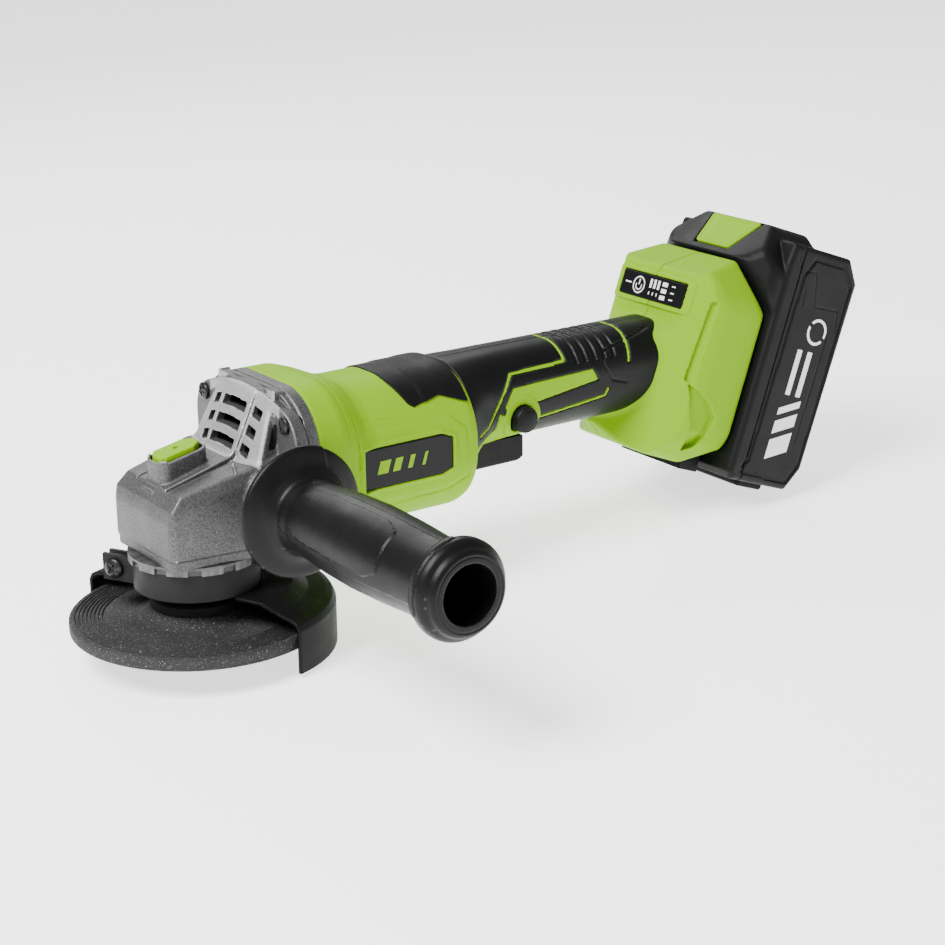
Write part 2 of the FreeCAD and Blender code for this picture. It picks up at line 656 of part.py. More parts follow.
# ---------------------------------------------------------------- gear case
def gear_case_pieces():
    # neck that carries the guard's clamp, with the bearing seat; a ring of notches round its shoulder
    shoulder = "band_top + 0.2"
    neck = doc.addObject("PartDesign::Body", "neck")
    sketch = new_sketch(neck, "neck_profile", "XZ_Plane")
    outline(sketch, [
        ("shoulder_radius + 0.8", 17), ("neck_radius", 17), ("neck_radius", shoulder),
        ("retainer_radius", shoulder), ("retainer_radius", "case_bottom"),
        ("spigot_radius", "case_bottom"), ("spigot_radius", "case_bottom + 3"),
        (15.5, "case_bottom + 3"), (15.5, "bearing_bottom + 9.3"), ("bearing_outer", "bearing_bottom + 9.3"),
        ("bearing_outer", "bearing_bottom"), ("shoulder_radius + 0.8", "bearing_bottom"),
    ])
    turn = neck.newObject("PartDesign::Revolution", "neck_turn")
    turn.Profile = sketch
    turn.ReferenceAxis = (sketch, ["V_Axis"])
    turn.Angle = 360
    notch_sketch = new_sketch(neck, "notch_outline", "XY_Plane", shoulder)
    outline(notch_sketch, [
        (24.8, -2.6), ("retainer_radius + 1", -2.6), ("retainer_radius + 1", 2.6), (24.8, 2.6),
    ])
    notch = neck.newObject("PartDesign::Pocket", "notch")
    notch.Profile = notch_sketch
    notch.Length = 2.4
    notch.Reversed = True
    ring = neck.newObject("PartDesign::PolarPattern", "notches")
    ring.Originals = [notch]
    ring.Axis = (plane_of(neck, "Z_Axis"), [""])
    ring.Angle = 360
    ring.Occurrences = 12
    neck.Tip = ring
    node("bearing_retainer", neck)

    # head: plan outline, cut to its side view
    plan = mirrored_y([
        ("case_front", 0), ("case_front", "nose_half_width - 4.2"), ("case_front + 4.6", "nose_half_width"),
        (13, "head_half_width"), ("face_plane + 1", "head_half_width + 1.6"), ("face_plane + 1", 0),
    ])
    plan_block = slab("head_plan", "XY_Plane", plan, "100 - case_bottom", "case_bottom")
    side = slab("head_side", "XZ_Plane", [
        ("case_front - 1", 30), ("case_front - 1", 35.6), ("case_front", 36.4), ("case_front", 50),
        ("case_front + 1.5", 54.6), ("case_front + 5.9", 59.4), (12, 66.6), (23.4, 91.6),
        ("face_plane + 1", 91.6), ("face_plane + 1", 30),
    ], 80, both_ways=True)
    head = common("head", plan_block, side)
    flange = lofted("case_flange", [
        ("face_plane", "motor_axis", "flange_half_width", "flange_half_height", "flange_corner"),
        ("face_plane + 4.6", "motor_axis", "flange_half_width", "flange_half_height", "flange_corner"),
        ("face_plane + 5.4", "motor_axis", "ring_half_width", "ring_half_height - 0.4", "flange_corner + 2"),
        ("case_end", "motor_axis", "ring_half_width", "ring_half_height", "flange_corner + 3"),
    ])
    socket_bosses = [
        cylinder("socket_boss_left", 9, "socket_face - 18", ("socket_x", 18, "socket_z"), "+Y"),
        cylinder("socket_boss_right", 9, "socket_face - 18", ("socket_x", -18, "socket_z"), "-Y"),
    ]
    boss = slab("lock_boss", "XZ_Plane", [
        ("boss_front", 58), ("boss_front", 68.6), ("boss_front + boss_length", 73.0),
        ("boss_front + boss_length", 62),
    ], "2 * boss_half_width", both_ways=True)
    softened(boss, "boss_half_width - 1.6", lambda edge: runs_along(edge, V(0, 0, 1)))
    lug_blocks = []
    for name, y in (("lug_left", 15), ("lug_right", -15)):
        lug_blocks.append(box(name, ("face_plane + 1.4", y - 5, 86), ("face_plane + 5.8", y + 5, 93.4)))
    blank = fuse("case_blank", head, flange, boss, *socket_bosses, *lug_blocks)

    chamber = cylinder("gear_chamber", 18.25, 55 - 31, (0, 0, 31))
    pinion_room = cylinder("pinion_room", 7.6, 13, (9.6, 0, "motor_axis"), "+X")
    bush_seat = cylinder("bush_seat", "bush_radius", "bush_length + 0.3", (0, 0, "bush_bottom"))
    seat = cylinder("front_seat", "motor_bearing_outer", 10, ("front_bearing_x", 0, "motor_axis"), "+X")
    room = cylinder("air_room", 29.5, 12, (25.5, 0, "motor_axis"), "+X")
    seat_boss = cylinder("seat_boss", 13.6, 4.5, (25, 0, "motor_axis"), "+X")
    air_room = cut("air_space", room, seat_boss)
    well = slab("lock_well", "XZ_Plane", [
        ("boss_front + 1.3", "well_floor"), ("boss_front + 1.3", 80), ("boss_front + boss_length - 1.3", 80),
        ("boss_front + boss_length - 1.3", "well_floor"),
    ], "2 * boss_half_width - 2.4", both_ways=True)
    pin_hole = cylinder("pin_hole", 1.55, 16, ("0 - lock_circle", 0, 52), "+Z")
    shoulder_room = cylinder("shoulder_room", "retainer_radius + 0.3", "case_bottom - 20", (0, 0, 20))
    tools = [chamber, pinion_room, bush_seat, seat, air_room, well, pin_hole, shoulder_room]
    for name, y, along in (("socket_left", "socket_face - socket_depth", "+Y"),
                           ("socket_right", "socket_depth - socket_face", "-Y")):
        tools.append(cylinder(name, "socket_radius", "socket_depth + 1", ("socket_x", y, "socket_z"), along))
    for number, (y, z) in enumerate(screw_spots()):
        tools.append(cylinder(f"case_hole{number}", 2.1, 20, (20, y, z), "+X"))
        tools.append(cylinder(f"head_room{number}", 3.9, 10, ("face_plane - 10", y, z), "+X"))
    for row, z in enumerate((70.2, 76.9, 83.6)):
        for column, (low, high) in enumerate(((-17.6, -12.0), (-8.6, 8.6), (12.0, 17.6))):
            tools.append(box(f"vent{row}{column}", (5, low, z), (27, high, z + 3.6)))
    node("gear_case", cut("case", blank, *tools))

    screws = []
    for number, (y, z) in enumerate(screw_spots()):
        item = screw(f"case_screw{number}", ("face_plane", y, z), "+X", 3.5, 2.2, 2.0, 17)
        item.Placement.Rotation = FreeCAD.Rotation(V(0, 1, 0), -90)
        screws.append(item)
    node("gear_case_screws", group("case_screws", *screws))


def screw_spots():
    """The four screws that hold the gear case to the motor housing, as bound (y, z)."""
    return [("screw_y", "motor_axis + screw_rise"), ("0 - screw_y", "motor_axis + screw_rise"),
            ("screw_y", "motor_axis - screw_rise"), ("0 - screw_y", "motor_axis - screw_rise")]


# ---------------------------------------------------------------- spindle lock
def lock_pieces():
    rear = "boss_front + boss_length"
    cap = slab("lock_cap", "XZ_Plane", [
        ("boss_front + 1.8", 67.0), ("boss_front + 1.8", 69.6), (rear + " - 1.8", 73.9), (rear + " - 1.8", 71.3),
    ], "2 * boss_half_width - 3.4", both_ways=True)
    pin_seat = cylinder("pin_seat", "pin_radius", 69.5 - 60, ("0 - lock_circle", 0, 60))
    node("spindle_lock_button", cut("lock_button_cap", cap, pin_seat))
    node("spindle_lock_pin", cylinder("lock_pin", "pin_radius", "69.5 - web_top - 2",
                                      ("0 - lock_circle", 0, "web_top + 2")))
    node("spindle_lock_spring", coil("lock_spring", 2.5, 0.35, 5.0, 3, ("0 - lock_circle", 0, "well_floor + 0.1")))


# ---------------------------------------------------------------- motor
def on_motor_axis(x):
    return (x, 0, "motor_axis")


def spokes(name, count, inner, outer, thickness, x_low, x_high):
    """Flat radial blades standing round the motor's axis."""
    blades = []
    for number in range(count):
        blade = doc.addObject("Part::Box", f"{name}{number}")
        bind(blade, "Length", f"({x_high}) - ({x_low})")
        bind(blade, "Width", thickness)
        bind(blade, "Height", f"({outer}) - ({inner})")
        turn = FreeCAD.Rotation(V(1, 0, 0), 360 * number / count)
        out = turn.multVec(V(0, -0.5 * thickness, evaluate(inner)))
        blade.Placement = FreeCAD.Placement(V(0, 0, 0), turn)
        bind(blade, "Placement.Base.x", x_low)
        bind(blade, "Placement.Base.y", f"{out.y:.6f}")
        bind(blade, "Placement.Base.z", f"motor_axis + {out.z:.6f}")
        blades.append(blade)
    return blades


def motor_pieces():
    seat = "front_bearing_x"
    node("motor_shaft", turned("shaft", [
        (0, 17.7), (2.5, 17.7), (2.5, seat), ("shaft_radius", seat),
        ("shaft_radius", "rear_bearing_x + motor_bearing_width"), (0, "rear_bearing_x + motor_bearing_width"),
    ], on_motor_axis(0), "+X"))
    inner_races, outer_races, balls = [], [], []
    for name, x in (("front", "front_bearing_x"), ("rear", "rear_bearing_x")):
        at = on_motor_axis(x)
        inner_races.append(tube(name + "_inner", "shaft_radius", 6.1, "motor_bearing_width", at, "+X"))
        outer_races.append(tube(name + "_outer", 8.9, "motor_bearing_outer", "motor_bearing_width", at, "+X"))
        for number in range(7):
            turn = 2 * math.pi * number / 7
            middle = (f"{x} + 0.5 * motor_bearing_width", 7.5 * math.cos(turn),
                      f"motor_axis + {7.5 * math.sin(turn):.6f}")
            balls.append(ball(f"{name}_ball{number}", 1.35, middle))
    node("motor_bearing_inner_races", group("motor_inner_races", *inner_races))
    node("motor_bearing_outer_races", group("motor_outer_races", *outer_races))
    node("motor_bearing_balls", group("motor_balls", *balls))

    core_start = "stator_front + 1"
    node("rotor_core", tube("core", "shaft_radius", 10.4, "stator_length - 2", on_motor_axis(core_start), "+X"))
    ring = tube("magnet_ring", 10.4, "rotor_radius", "stator_length - 2", on_motor_axis(core_start), "+X")
    gaps = [
        box("gap_flat", (50, -20, "motor_axis - 0.6"), (100, 20, "motor_axis + 0.6")),
        box("gap_upright", (50, -0.6, "motor_axis - 20"), (100, 0.6, "motor_axis + 20")),
    ]
    node("rotor_magnets", cut("magnets", ring, *gaps))

    hub = tube("fan_hub", "shaft_radius", 9, 13.5, on_motor_axis(40.5), "+X")
    disc = tube("fan_disc", "shaft_radius", "fan_radius", 1.4, on_motor_axis(52.6), "+X")
    blades = spokes("fan_blade", 11, 8.5, "fan_radius", 1.2, 42.5, 53)
    node("cooling_fan", fuse("fan", hub, disc, *blades))

    yoke = tube("yoke", "stator_bore", "stator_radius", "stator_length", on_motor_axis("stator_front"), "+X")
    slots, bundles = [], []
    for number in range(6):
        turn = math.pi / 3 * number
        y, z = 19.4 * math.cos(turn), f"motor_axis + {19.4 * math.sin(turn):.6f}"
        slots.append(cylinder(f"slot{number}", 4.3, 60, (50, y, z), "+X"))
        bundles.append(cylinder(f"bundle{number}", 4.2, "stator_length + 5", ("stator_front - 2.2", y, z), "+X"))
    node("stator_core", cut("stator", yoke, *slots))
    node("stator_windings", group("windings", *bundles))


def housing_pieces():
    middle = "motor_axis"
    sections = [
        ("case_end", middle, "ring_half_width", "ring_half_height", "ring_corner"),
        ("ring_end", middle, "ring_half_width", "ring_half_height", "ring_corner"),
        ("ring_end + 9", middle, "barrel_half_width + 2.6", "barrel_radius + 2.8", "barrel_radius - 4"),
        ("barrel_start", middle, "barrel_half_width", "barrel_radius", "barrel_radius - 2"),
        ("barrel_end - 3.5", middle, "barrel_half_width", "barrel_radius", "barrel_radius - 2"),
        ("barrel_end", middle, "barrel_half_width - 1.6", "barrel_radius - 1.6", "barrel_radius - 3.6"),
    ]
    blank = lofted("housing_skin", sections)
    inside = [
        cylinder("fan_room", 30.5, "50 - case_end + 1", on_motor_axis("case_end - 1"), "+X"),
        cylinder("stator_room", "stator_radius", "104 - 49", on_motor_axis(49), "+X"),
        cylinder("tail_room", 26.8, 8, on_motor_axis("rear_bearing_x + motor_bearing_width"), "+X"),
    ]
    boss = cylinder("rear_boss", 14, 9, on_motor_axis("rear_bearing_x - 2"), "+X")
    seat = cylinder("rear_seat", "motor_bearing_outer", 12, on_motor_axis("rear_bearing_x - 3"), "+X")
    air = []
    for number in range(6):
        turn = math.pi / 3 * number + math.pi / 6
        y, z = 20.2 * math.cos(turn), f"motor_axis + {20.2 * math.sin(turn):.6f}"
        air.append(cylinder(f"air_hole{number}", 4, 6, (102.5, y, z), "+X"))
    for number, (y, z) in enumerate(screw_spots()):
        air.append(cylinder(f"housing_hole{number}", 2.0, 8, ("case_end - 2", y, z), "+X"))
    plates, recesses = [], []
    plate_outline = [(56.5, 49.7), (93.8, 49.7), (99.2, 51.5), (99.2, 64.1), (94.0, 66.2), (56.5, 66.2)]
    for side, y in (("left", 31), ("right", -31)):
        shift = f"0 - {y}" if y > 0 else str(-y)
        plates.append(slab(f"plate_{side}", "XZ_Plane", plate_outline, 1.0, shift))
        recesses.append(slab(f"recess_{side}", "XZ_Plane", plate_outline, 3.0, shift))
    for piece in (plates[0], recesses[0]):
        piece.Tip.Reversed = True
    hollow = cut("housing_hollow", blank, *inside)
    joined = fuse("housing_joined", hollow, boss)
    housing = cut("housing", joined, seat, *air, *recesses)
    node("motor_housing", housing)
    node("name_plates", group("plates", *plates))

    cover = lofted("saddle_skin", [
        (78, middle, "barrel_half_width + 0.9", "barrel_radius + 0.9", "barrel_radius - 1.1"),
        ("barrel_end - 3.5", middle, "barrel_half_width + 0.9", "barrel_radius + 0.9", "barrel_radius - 1.1"),
    ])
    shape = slab("saddle_side", "XZ_Plane", [
        (79, 92), (79.5, 86), (83, 78.5), (85, 77), (98, 79.5), (108.8, 75.5), (108.8, 92),
    ], 80, both_ways=True)
    outer = common("saddle_blank", cover, shape)
    node("housing_saddle", cut("saddle", outer, blank))


# ---------------------------------------------------------------- handle shells and grip
def handle_skin(name, inset, last):
    """The handle's outer form, drawn in by an inset, from the motor housing to the battery foot."""
    half_y, half_z = f"grip_half_width - {inset}", f"grip_half_height - {inset}"
    axis = "handle_axis"
    corner = 16.5
    return lofted(name, [
        ("barrel_end + 0.1", f"{axis} - 8.2", f"{half_y} + 7.7", f"{half_z} + 8.2", f"24 - {inset}"),
        (118, f"{axis} - 4.4", f"{half_y} + 5.1", f"{half_z} + 4.4", f"21 - {inset}"),
        (126, f"{axis} - 0.6", f"{half_y} + 1.3", f"{half_z} + 0.6", f"17.5 - {inset}"),
        (150, axis, half_y, half_z, f"{corner} - {inset}"),
        (last, axis, half_y, f"{half_z} - 0.2", f"{corner} - {inset}"),
    ])


def foot_block(name):
    """The battery foot of the tool in the pitched frame: side, plan and front outlines in common."""
    side = slab(name + "_side", "XZ_Plane", [
        (-17, 48.2), (-36.5, 37.5), (-37.5, 14), (-47, 5), (-52.5, -27), (-50, -36), (-38, -41),
        (-14, -42.5), (0, -33), (0, 29),
    ], 80, both_ways=True)
    plan = slab(name + "_plan", "XY_Plane", mirrored_y([
        (-54, 0), (-53, 21), (-38, 27), (-28, "dock_half_width"), (1, "dock_half_width"), (1, 0),
    ]), 120, both_ways=True)
    front = slab(name + "_front", "YZ_Plane", [
        ("dock_half_width", -28), ("dock_half_width", 29), (23.6, 49), (-23.6, 49),
        ("0 - dock_half_width", 29), ("0 - dock_half_width", -28), (-22, -43), (22, -43),
    ], 140, both_ways=True)
    return common(name, side, plan, front)


SHELL_SCREWS = [(160, 60), (190, 60), (190, 76), (160, 76)]


def handle_pieces():
    outer_skin = handle_skin("grip_skin", "0", 226)
    shell_skin = handle_skin("shell_skin", "skin", 222)
    inner_skin = handle_skin("handle_hollow", "4.2", 219)
    foot = pitched(foot_block("foot"))
    spigot = cylinder("spigot", 26.6, "barrel_end - rear_bearing_x - motor_bearing_width + 0.1",
                      on_motor_axis("rear_bearing_x + motor_bearing_width"), "+X")
    bore = cylinder("spigot_bore", 23.5, 12, on_motor_axis(104), "+X")
    rooms = [
        box("foot_room", (-33.5, -27.5, -29), (-12.4, 27.5, 34)),
        box("dock_wide", ("0 - tongue_depth - 0.3", "0 - rail_half_width - 0.4", -31.2),
            (-6.2, "rail_half_width + 0.4", 60)),
        box("dock_narrow", (-7, "0 - tongue_half_width - 0.3", -31.2), (3, "tongue_half_width + 0.3", 60)),
        box("display_recess", (-40, -21.1, 21.6), (-33, 21.1, 32.6)),
    ]
    rooms = [pitched(room) for room in rooms]
    lever_slot = box("lever_slot", ("trigger_front - 0.4", "0 - trigger_half_width - 0.4", 28),
                     ("trigger_rear + 0.6", "trigger_half_width + 0.4", 53.8))
    button_hole = cylinder("button_hole", "button_radius + 0.3", 30, ("button_x", -34, "button_z"), "+Y")
    ears = [
        box("ear_left", (112.6, "trigger_half_width + 0.4", 47), (121, "trigger_half_width + 3.6", 54)),
        box("ear_right", (112.6, "0 - trigger_half_width - 3.6", 47), (121, "0 - trigger_half_width - 0.4", 54)),
    ]
    hinge_hole = cylinder("hinge_hole", "pin_radius", 27, ("pivot_x", -13.5, "pivot_z"), "+Y")
    button_room = cylinder("button_room", 6.7, 8, ("button_x", -9.8, "button_z"), "+Y")
    posts, drillings = [], []
    for number, (x, z) in enumerate(SHELL_SCREWS):
        posts.append(cylinder(f"post{number}", 3.8, 31, (x, -15.5, z), "+Y"))
        drillings.append(cylinder(f"post_bore{number}", 1.5, 20, (x, -0.6, z), "+Y"))
        drillings.append(cylinder(f"head_recess{number}", 3.3, 10, (x, "screw_seat_y", z), "+Y"))
    solid = fuse("shell_solid", shell_skin, foot, spigot)
    hollowed = cut("shell_hollowed", solid, inner_skin, bore, *rooms, lever_slot, button_hole, button_room)
    inner_parts = common("inner_parts", fuse("ears_and_posts", *ears, *posts), shell_skin)
    eared = fuse("shell_eared", hollowed, inner_parts)
    drilled = cut("shell_drilled", eared, hinge_hole, *drillings)
    skin = cut("skin_blank", outer_skin, shell_skin, foot, lever_slot, button_hole, *drillings)
    for side, low, high in (("left", 0, 60), ("right", -60, 0)):
        half = box("half_" + side, (90, low, -20), (320, high, 160))
        node("handle_shell_" + side, common("shell_" + side, drilled, half))
        half_skin = box("half_skin_" + side, (90, low, -20), (320, high, 160))
        node("grip_cover_" + side, common("cover_" + side, skin, half_skin))

    screws = []
    for number, (x, z) in enumerate(SHELL_SCREWS):
        screws.append(screw(f"shell_screw{number}", (x, "screw_seat_y", z), "+Y", 3.0, 1.8, 1.5, 14))
    node("shell_screws", group("shell_fasteners", *screws))


# ---------------------------------------------------------------- switchgear
def switch_pieces():
    lever = slab("lever", "XZ_Plane", [
        ("trigger_front", 52.6), ("trigger_front", 41), ("trigger_front + 4", "trigger_bottom"),
        ("trigger_rear - 3", "trigger_bottom"), ("trigger_rear", "trigger_bottom + 2"),
        ("trigger_rear", 49.6), (124, 49.6), (120.5, 53.4), (115, 53.4),
    ], "2 * trigger_half_width", both_ways=True)
    softened(lever, 1.6, lambda edge: runs_along(edge, V(1, 0, 0)) and edge.BoundBox.ZMax < 41)
    pin_bore = cylinder("pin_bore", "pin_radius + 0.03", 27, ("pivot_x", -13.5, "pivot_z"), "+Y")
    node("trigger", cut("trigger_lever", lever, pin_bore))
    node("trigger_pin", cylinder("hinge_pin", "pin_radius", 26, ("pivot_x", -13, "pivot_z"), "+Y"))
    node("trigger_spring", coil("lever_spring", 2.6, 0.4, 4.5, 3, (136, 2, 49.9)))
    node("switch_module", box("switch_box", (124, -1.6, 54.6), (148, 6, 68)))

    cap = turned("side_button", [
        (0, -24.6), ("button_radius - 0.7", -24.6), ("button_radius", -23.8), ("button_radius", -9.5),
        (6.3, -9.5), (6.3, -8), (0, -8),
    ], ("button_x", 0, "button_z"), "+Y")
    node("lock_off_button", cap)
    node("lock_off_spring", coil("button_spring", 3.2, 0.35, 5.6, 3, ("button_x", -7.8, "button_z"), "+Y"))

    node("display_window", pitched(box("window", (-38.1, -20.9, 21.8), (-36, 20.9, 32.4))))
    node("display_board", pitched(box("window_board", (-35.6, -20, 22), (-34.2, 20, 32.2))))
    node("motor_controller", pitched(box("controller", (-31, -23, -24), (-15, 23, 16))))
    block = pitched(box("block", (-9.4, -14, -31.2), (-1, 14, -27.4)))
    blades = [pitched(box(f"blade{i}", (-7.4, y - 0.4, -27.4), (-2.4, y + 0.4, -16)))
              for i, y in enumerate((-10.5, -3.5, 3.5, 10.5))]
    node("terminal_block", block)
    node("terminal_blades", group("blades", *blades))
    sole = box("front_foot_blank", (-12, -19.5, -45), (-1.5, 19.5, -32))
    node("dock_foot", pitched(cut("front_foot", sole, foot_block("sole_mould"))))


# ---------------------------------------------------------------- battery
def battery_pieces():
    side = [
        (0.4, "pack_bottom + 3"), (3.0, "pack_bottom"), ("pack_rear - 7.6", "pack_bottom"),
        ("pack_rear - 1.3", "pack_bottom + 10.6"), ("pack_rear", "pack_top - 9.8"),
        ("pack_rear - 7.7", "pack_top"), (1.6, "pack_top"), (0.4, 53),
    ]
    inner = [
        (2.4, "pack_bottom + 2.2"), ("pack_rear - 8.8", "pack_bottom + 2.2"),
        ("pack_rear - 3.4", "pack_bottom + 11.4"), ("pack_rear - 2.4", "pack_top - 10.8"),
        ("pack_rear - 8.8", "pack_top - 2.2"), (2.4, "pack_top - 2.2"),
    ]
    body = slab("pack_side", "XZ_Plane", side, "2 * pack_half_width", both_ways=True)
    softened(body, 3, lambda edge: abs(edge.BoundBox.YMax) > 37 and edge.BoundBox.YLength < 0.1
             and edge.BoundBox.XMin > 6)
    room = slab("pack_room", "XZ_Plane", inner, "2 * pack_half_width - 4.4", both_ways=True)
    crown = slab("pack_crown", "XZ_Plane", [
        (-16, 49.4), (-12.2, 52), (0, "pack_top + 5"), (22, "pack_top + 5"), (27, "pack_top - 1"),
        (2, "pack_top - 1"), (1.4, 30.5), (0.6, 30.5),
    ], 120, both_ways=True)
    crown_front = slab("crown_front", "YZ_Plane", [
        (36.5, 28), (36.5, 50), (27, "pack_top + 4"), (22, "pack_top + 6"),
        (-22, "pack_top + 6"), (-27, "pack_top + 4"), (-36.5, 50), (-36.5, 28),
    ], 120, both_ways=True)
    crown_plan = slab("crown_plan", "XY_Plane", mirrored_y([
        (-17, 0), (-17, 22), (0, 35), (40, 35), (40, 0),
    ]), 200, both_ways=True)
    top = common("crown", crown, crown_front, crown_plan)
    tongue = box("tongue_core", ("0 - tongue_depth", "0 - tongue_half_width", -25.5),
                 (1, "tongue_half_width", 29))
    rails = box("rails", ("0 - tongue_depth", "0 - rail_half_width", -22), (-6.6, "rail_half_width", 29))
    neck = box("tongue_neck", (-1, "0 - tongue_half_width", -25.5), (3, "tongue_half_width", 40))
    shell = fuse("pack_blank", body, top, tongue, rails, neck)

    face_pitch = -math.degrees(math.atan2(14.8, 11.8))
    cap_outline = mirrored_y([(0.4, 0), (0.4, 10.5), (18.4, 15.6), (18.4, 0)])
    well_outline = mirrored_y([(0, 0), (0, 11.0), (18.8, 16.1), (18.8, 0)])

    def on_button_face(item):
        item.Placement = FreeCAD.Placement(V(-11.8, 0, 52), FreeCAD.Rotation(V(0, 1, 0), face_pitch))
        return item

    well = on_button_face(slab("release_well", "XY_Plane", well_outline, 12.0, -9.2))
    slots = []
    contacts = []
    for number, y in enumerate((-10.5, -3.5, 3.5, 10.5)):
        slots.append(box(f"contact_slot{number}", (-8, y - 1.6, -27), (-1.6, y + 1.6, -9)))
        for side_number, shift in enumerate((0.5, -1.0)):
            contacts.append(box(f"contact{number}{side_number}", (-7, y + shift, -23),
                                (-2.6, y + shift + 0.5, -9)))
    hollow = cut("pack_hollow", shell, room, well, *slots)
    front_half = box("front_space", (-30, -60, -80), ("pack_split", 60, 90))
    rear_half = box("rear_space", ("pack_split", -60, -80), (80, 60, 90))
    foot = box("rear_foot", (24, -20.5, -47.3), (40, 20.5, "pack_bottom + 0.5"))
    footed = fuse("pack_footed", hollow, foot)
    node("battery_front_case", pitched(common("front_case", hollow, front_half)))
    node("battery_rear_case", pitched(common("rear_case", footed, rear_half)))
    node("battery_contacts", pitched(group("contacts", *contacts)))
    cells = []
    for layer in range(2):
        for row in range(5):
            u = 13.4 + layer * 18.4
            w = -28.4 + row * 18.7
            cells.append(cylinder(f"cell{layer}{row}", "cell_radius", "cell_length",
                                  (u, "0 - 0.5 * cell_length", w), "+Y"))
    node("battery_cells", pitched(group("cells", *cells)))
    node("battery_board", pitched(box("board", (2.6, -30, -34), (3.9, 30, 52))))

    def lay_button(item):
        """From the button face's frame through the battery's frame into the row frame."""
        lean = FreeCAD.Placement(V(size("dock_x"), 0, size("dock_z")),
                                 FreeCAD.Rotation(V(0, 1, 0), size("pitch")))
        item.Placement = lean.multiply(item.Placement)
        return item

    button = on_button_face(slab("release_button_body", "XY_Plane", cap_outline, 4.0, -3.2))
    node("battery_release_button", lay_button(button))
    spring = coil("release_coil", 2.6, 0.4, 5.2, 3, (0, 0, 0))
    for axis in "xyz":
        spring.setExpression("Placement.Base." + axis, None)
    face = FreeCAD.Placement(V(-11.8, 0, 52), FreeCAD.Rotation(V(0, 1, 0), face_pitch))
    spring.Placement = face.multiply(FreeCAD.Placement(V(9.4, 0, -8.5), FreeCAD.Rotation()))
    node("release_spring", lay_button(spring))


# ---------------------------------------------------------------- side handle
def side_handle_pieces():
    at = ("socket_x", 0, "socket_z")
    end, hole = "side_end_y", "side_hole_radius"
    node("side_grip", turned("side_grip_body", [
        (3.95, "socket_face + 0.4"), (6.2, "socket_face + 0.4"), (6.2, "flange_half_width + 0.4"),
        (13.0, "flange_half_width + 0.4"), (14.4, 45),
        (23.6, "side_flange_y - 2"), ("side_flange_radius", "side_flange_y - 0.6"),
        ("side_flange_radius", "side_flange_y + 1"), ("side_flange_radius - 1.2", "side_flange_y + 2.2"),
        (17.4, "side_flange_y + 4.4"), (14.8, "side_flange_y + 8.4"), (14.2, "side_flange_y + 14"),
        ("side_grip_radius - 0.6", 82), ("side_grip_radius", 98), ("side_grip_radius - 0.8", 116),
        (14.4, 129), (14.2, 132.4), ("side_end_radius - 0.8", 135.2), ("side_end_radius", 137.4),
        ("side_end_radius", f"{end} - 6.4"), ("side_end_radius - 1.2", f"{end} - 4.6"),
        (12.6, end), (hole, end), (hole, f"{end} - 40"), (3.95, f"{end} - 40"),
    ], at, "-Y"))
    node("side_stud", turned("stud", [
        (0, 20.4), (3.2, 20.4), (3.9, 21.2), (3.9, f"{end} - 44"), (0, f"{end} - 44"),
    ], at, "-Y"))


# ---------------------------------------------------------------- assembly, checks and files
def write_parts():
    doc.recompute()
    failed = [item.Name for item in doc.Objects if "Invalid" in item.State or "Error" in item.State]
    if failed:
        raise SystemExit("failed features: " + ", ".join(failed))
    os.makedirs("parts", exist_ok=True)
    for label, item in NODES.items():
        shape = item.Shape
        if shape.isNull() or not shape.isValid() or not shape.Solids:
            raise SystemExit("bad shape: " + label)
        shape.exportStep(f"parts/{label}.step")
    print(len(NODES), "nodes written")


spindle_pieces()
bevel_pieces()
guard_pieces()
gear_case_pieces()
lock_pieces()
motor_pieces()
housing_pieces()
handle_pieces()
switch_pieces()
battery_pieces()
side_handle_pieces()
write_parts()
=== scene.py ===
import math

import bpy
import numpy as np
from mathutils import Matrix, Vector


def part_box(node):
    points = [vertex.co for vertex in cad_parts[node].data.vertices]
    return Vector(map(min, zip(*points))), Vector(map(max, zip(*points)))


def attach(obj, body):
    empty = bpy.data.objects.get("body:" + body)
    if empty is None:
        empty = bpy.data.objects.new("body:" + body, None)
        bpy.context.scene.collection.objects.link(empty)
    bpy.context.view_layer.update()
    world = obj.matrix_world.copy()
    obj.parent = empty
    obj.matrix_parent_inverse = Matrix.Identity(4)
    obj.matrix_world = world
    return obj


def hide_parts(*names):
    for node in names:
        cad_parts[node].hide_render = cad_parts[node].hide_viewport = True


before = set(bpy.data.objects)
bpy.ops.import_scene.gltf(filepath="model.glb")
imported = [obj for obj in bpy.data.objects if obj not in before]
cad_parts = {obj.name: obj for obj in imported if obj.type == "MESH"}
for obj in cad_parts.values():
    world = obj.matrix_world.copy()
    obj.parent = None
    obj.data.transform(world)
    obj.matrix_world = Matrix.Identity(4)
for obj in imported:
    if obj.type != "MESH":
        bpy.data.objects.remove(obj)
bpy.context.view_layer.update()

import openvdb
from mathutils import Matrix, Vector

# Looks of the cordless angle grinder. Lengths in this file are millimetres in the row frame unless
# a name says otherwise; meshes are scaled to metres when they are made.

MM = 0.001
PITCH = math.radians(20)
DOCK = np.array([254.0, 0.0, 60.0])
COARSE = 1.0
MOTOR_Z = 57.5          # the motor's axis above the wheel's face
MOTOR_AXIS = (0, MOTOR_Z)
SIDE_BOSS = (17.3, 55.5)  # x and z of the side handle's threaded bosses


# ------------------------------------------------------------------ distance fields
def smax(a, b, r):
    """Rounded intersection of two distance fields."""
    return np.minimum(-r, np.maximum(a, b)) + np.hypot(np.maximum(a + r, 0), np.maximum(b + r, 0))


def smin(a, b, r):
    """Filleted union of two distance fields."""
    return -smax(-a, -b, r)


def step(t):
    """A smooth step from 0 to 1."""
    t = np.clip(t, 0, 1)
    return t * t * (3 - 2 * t)


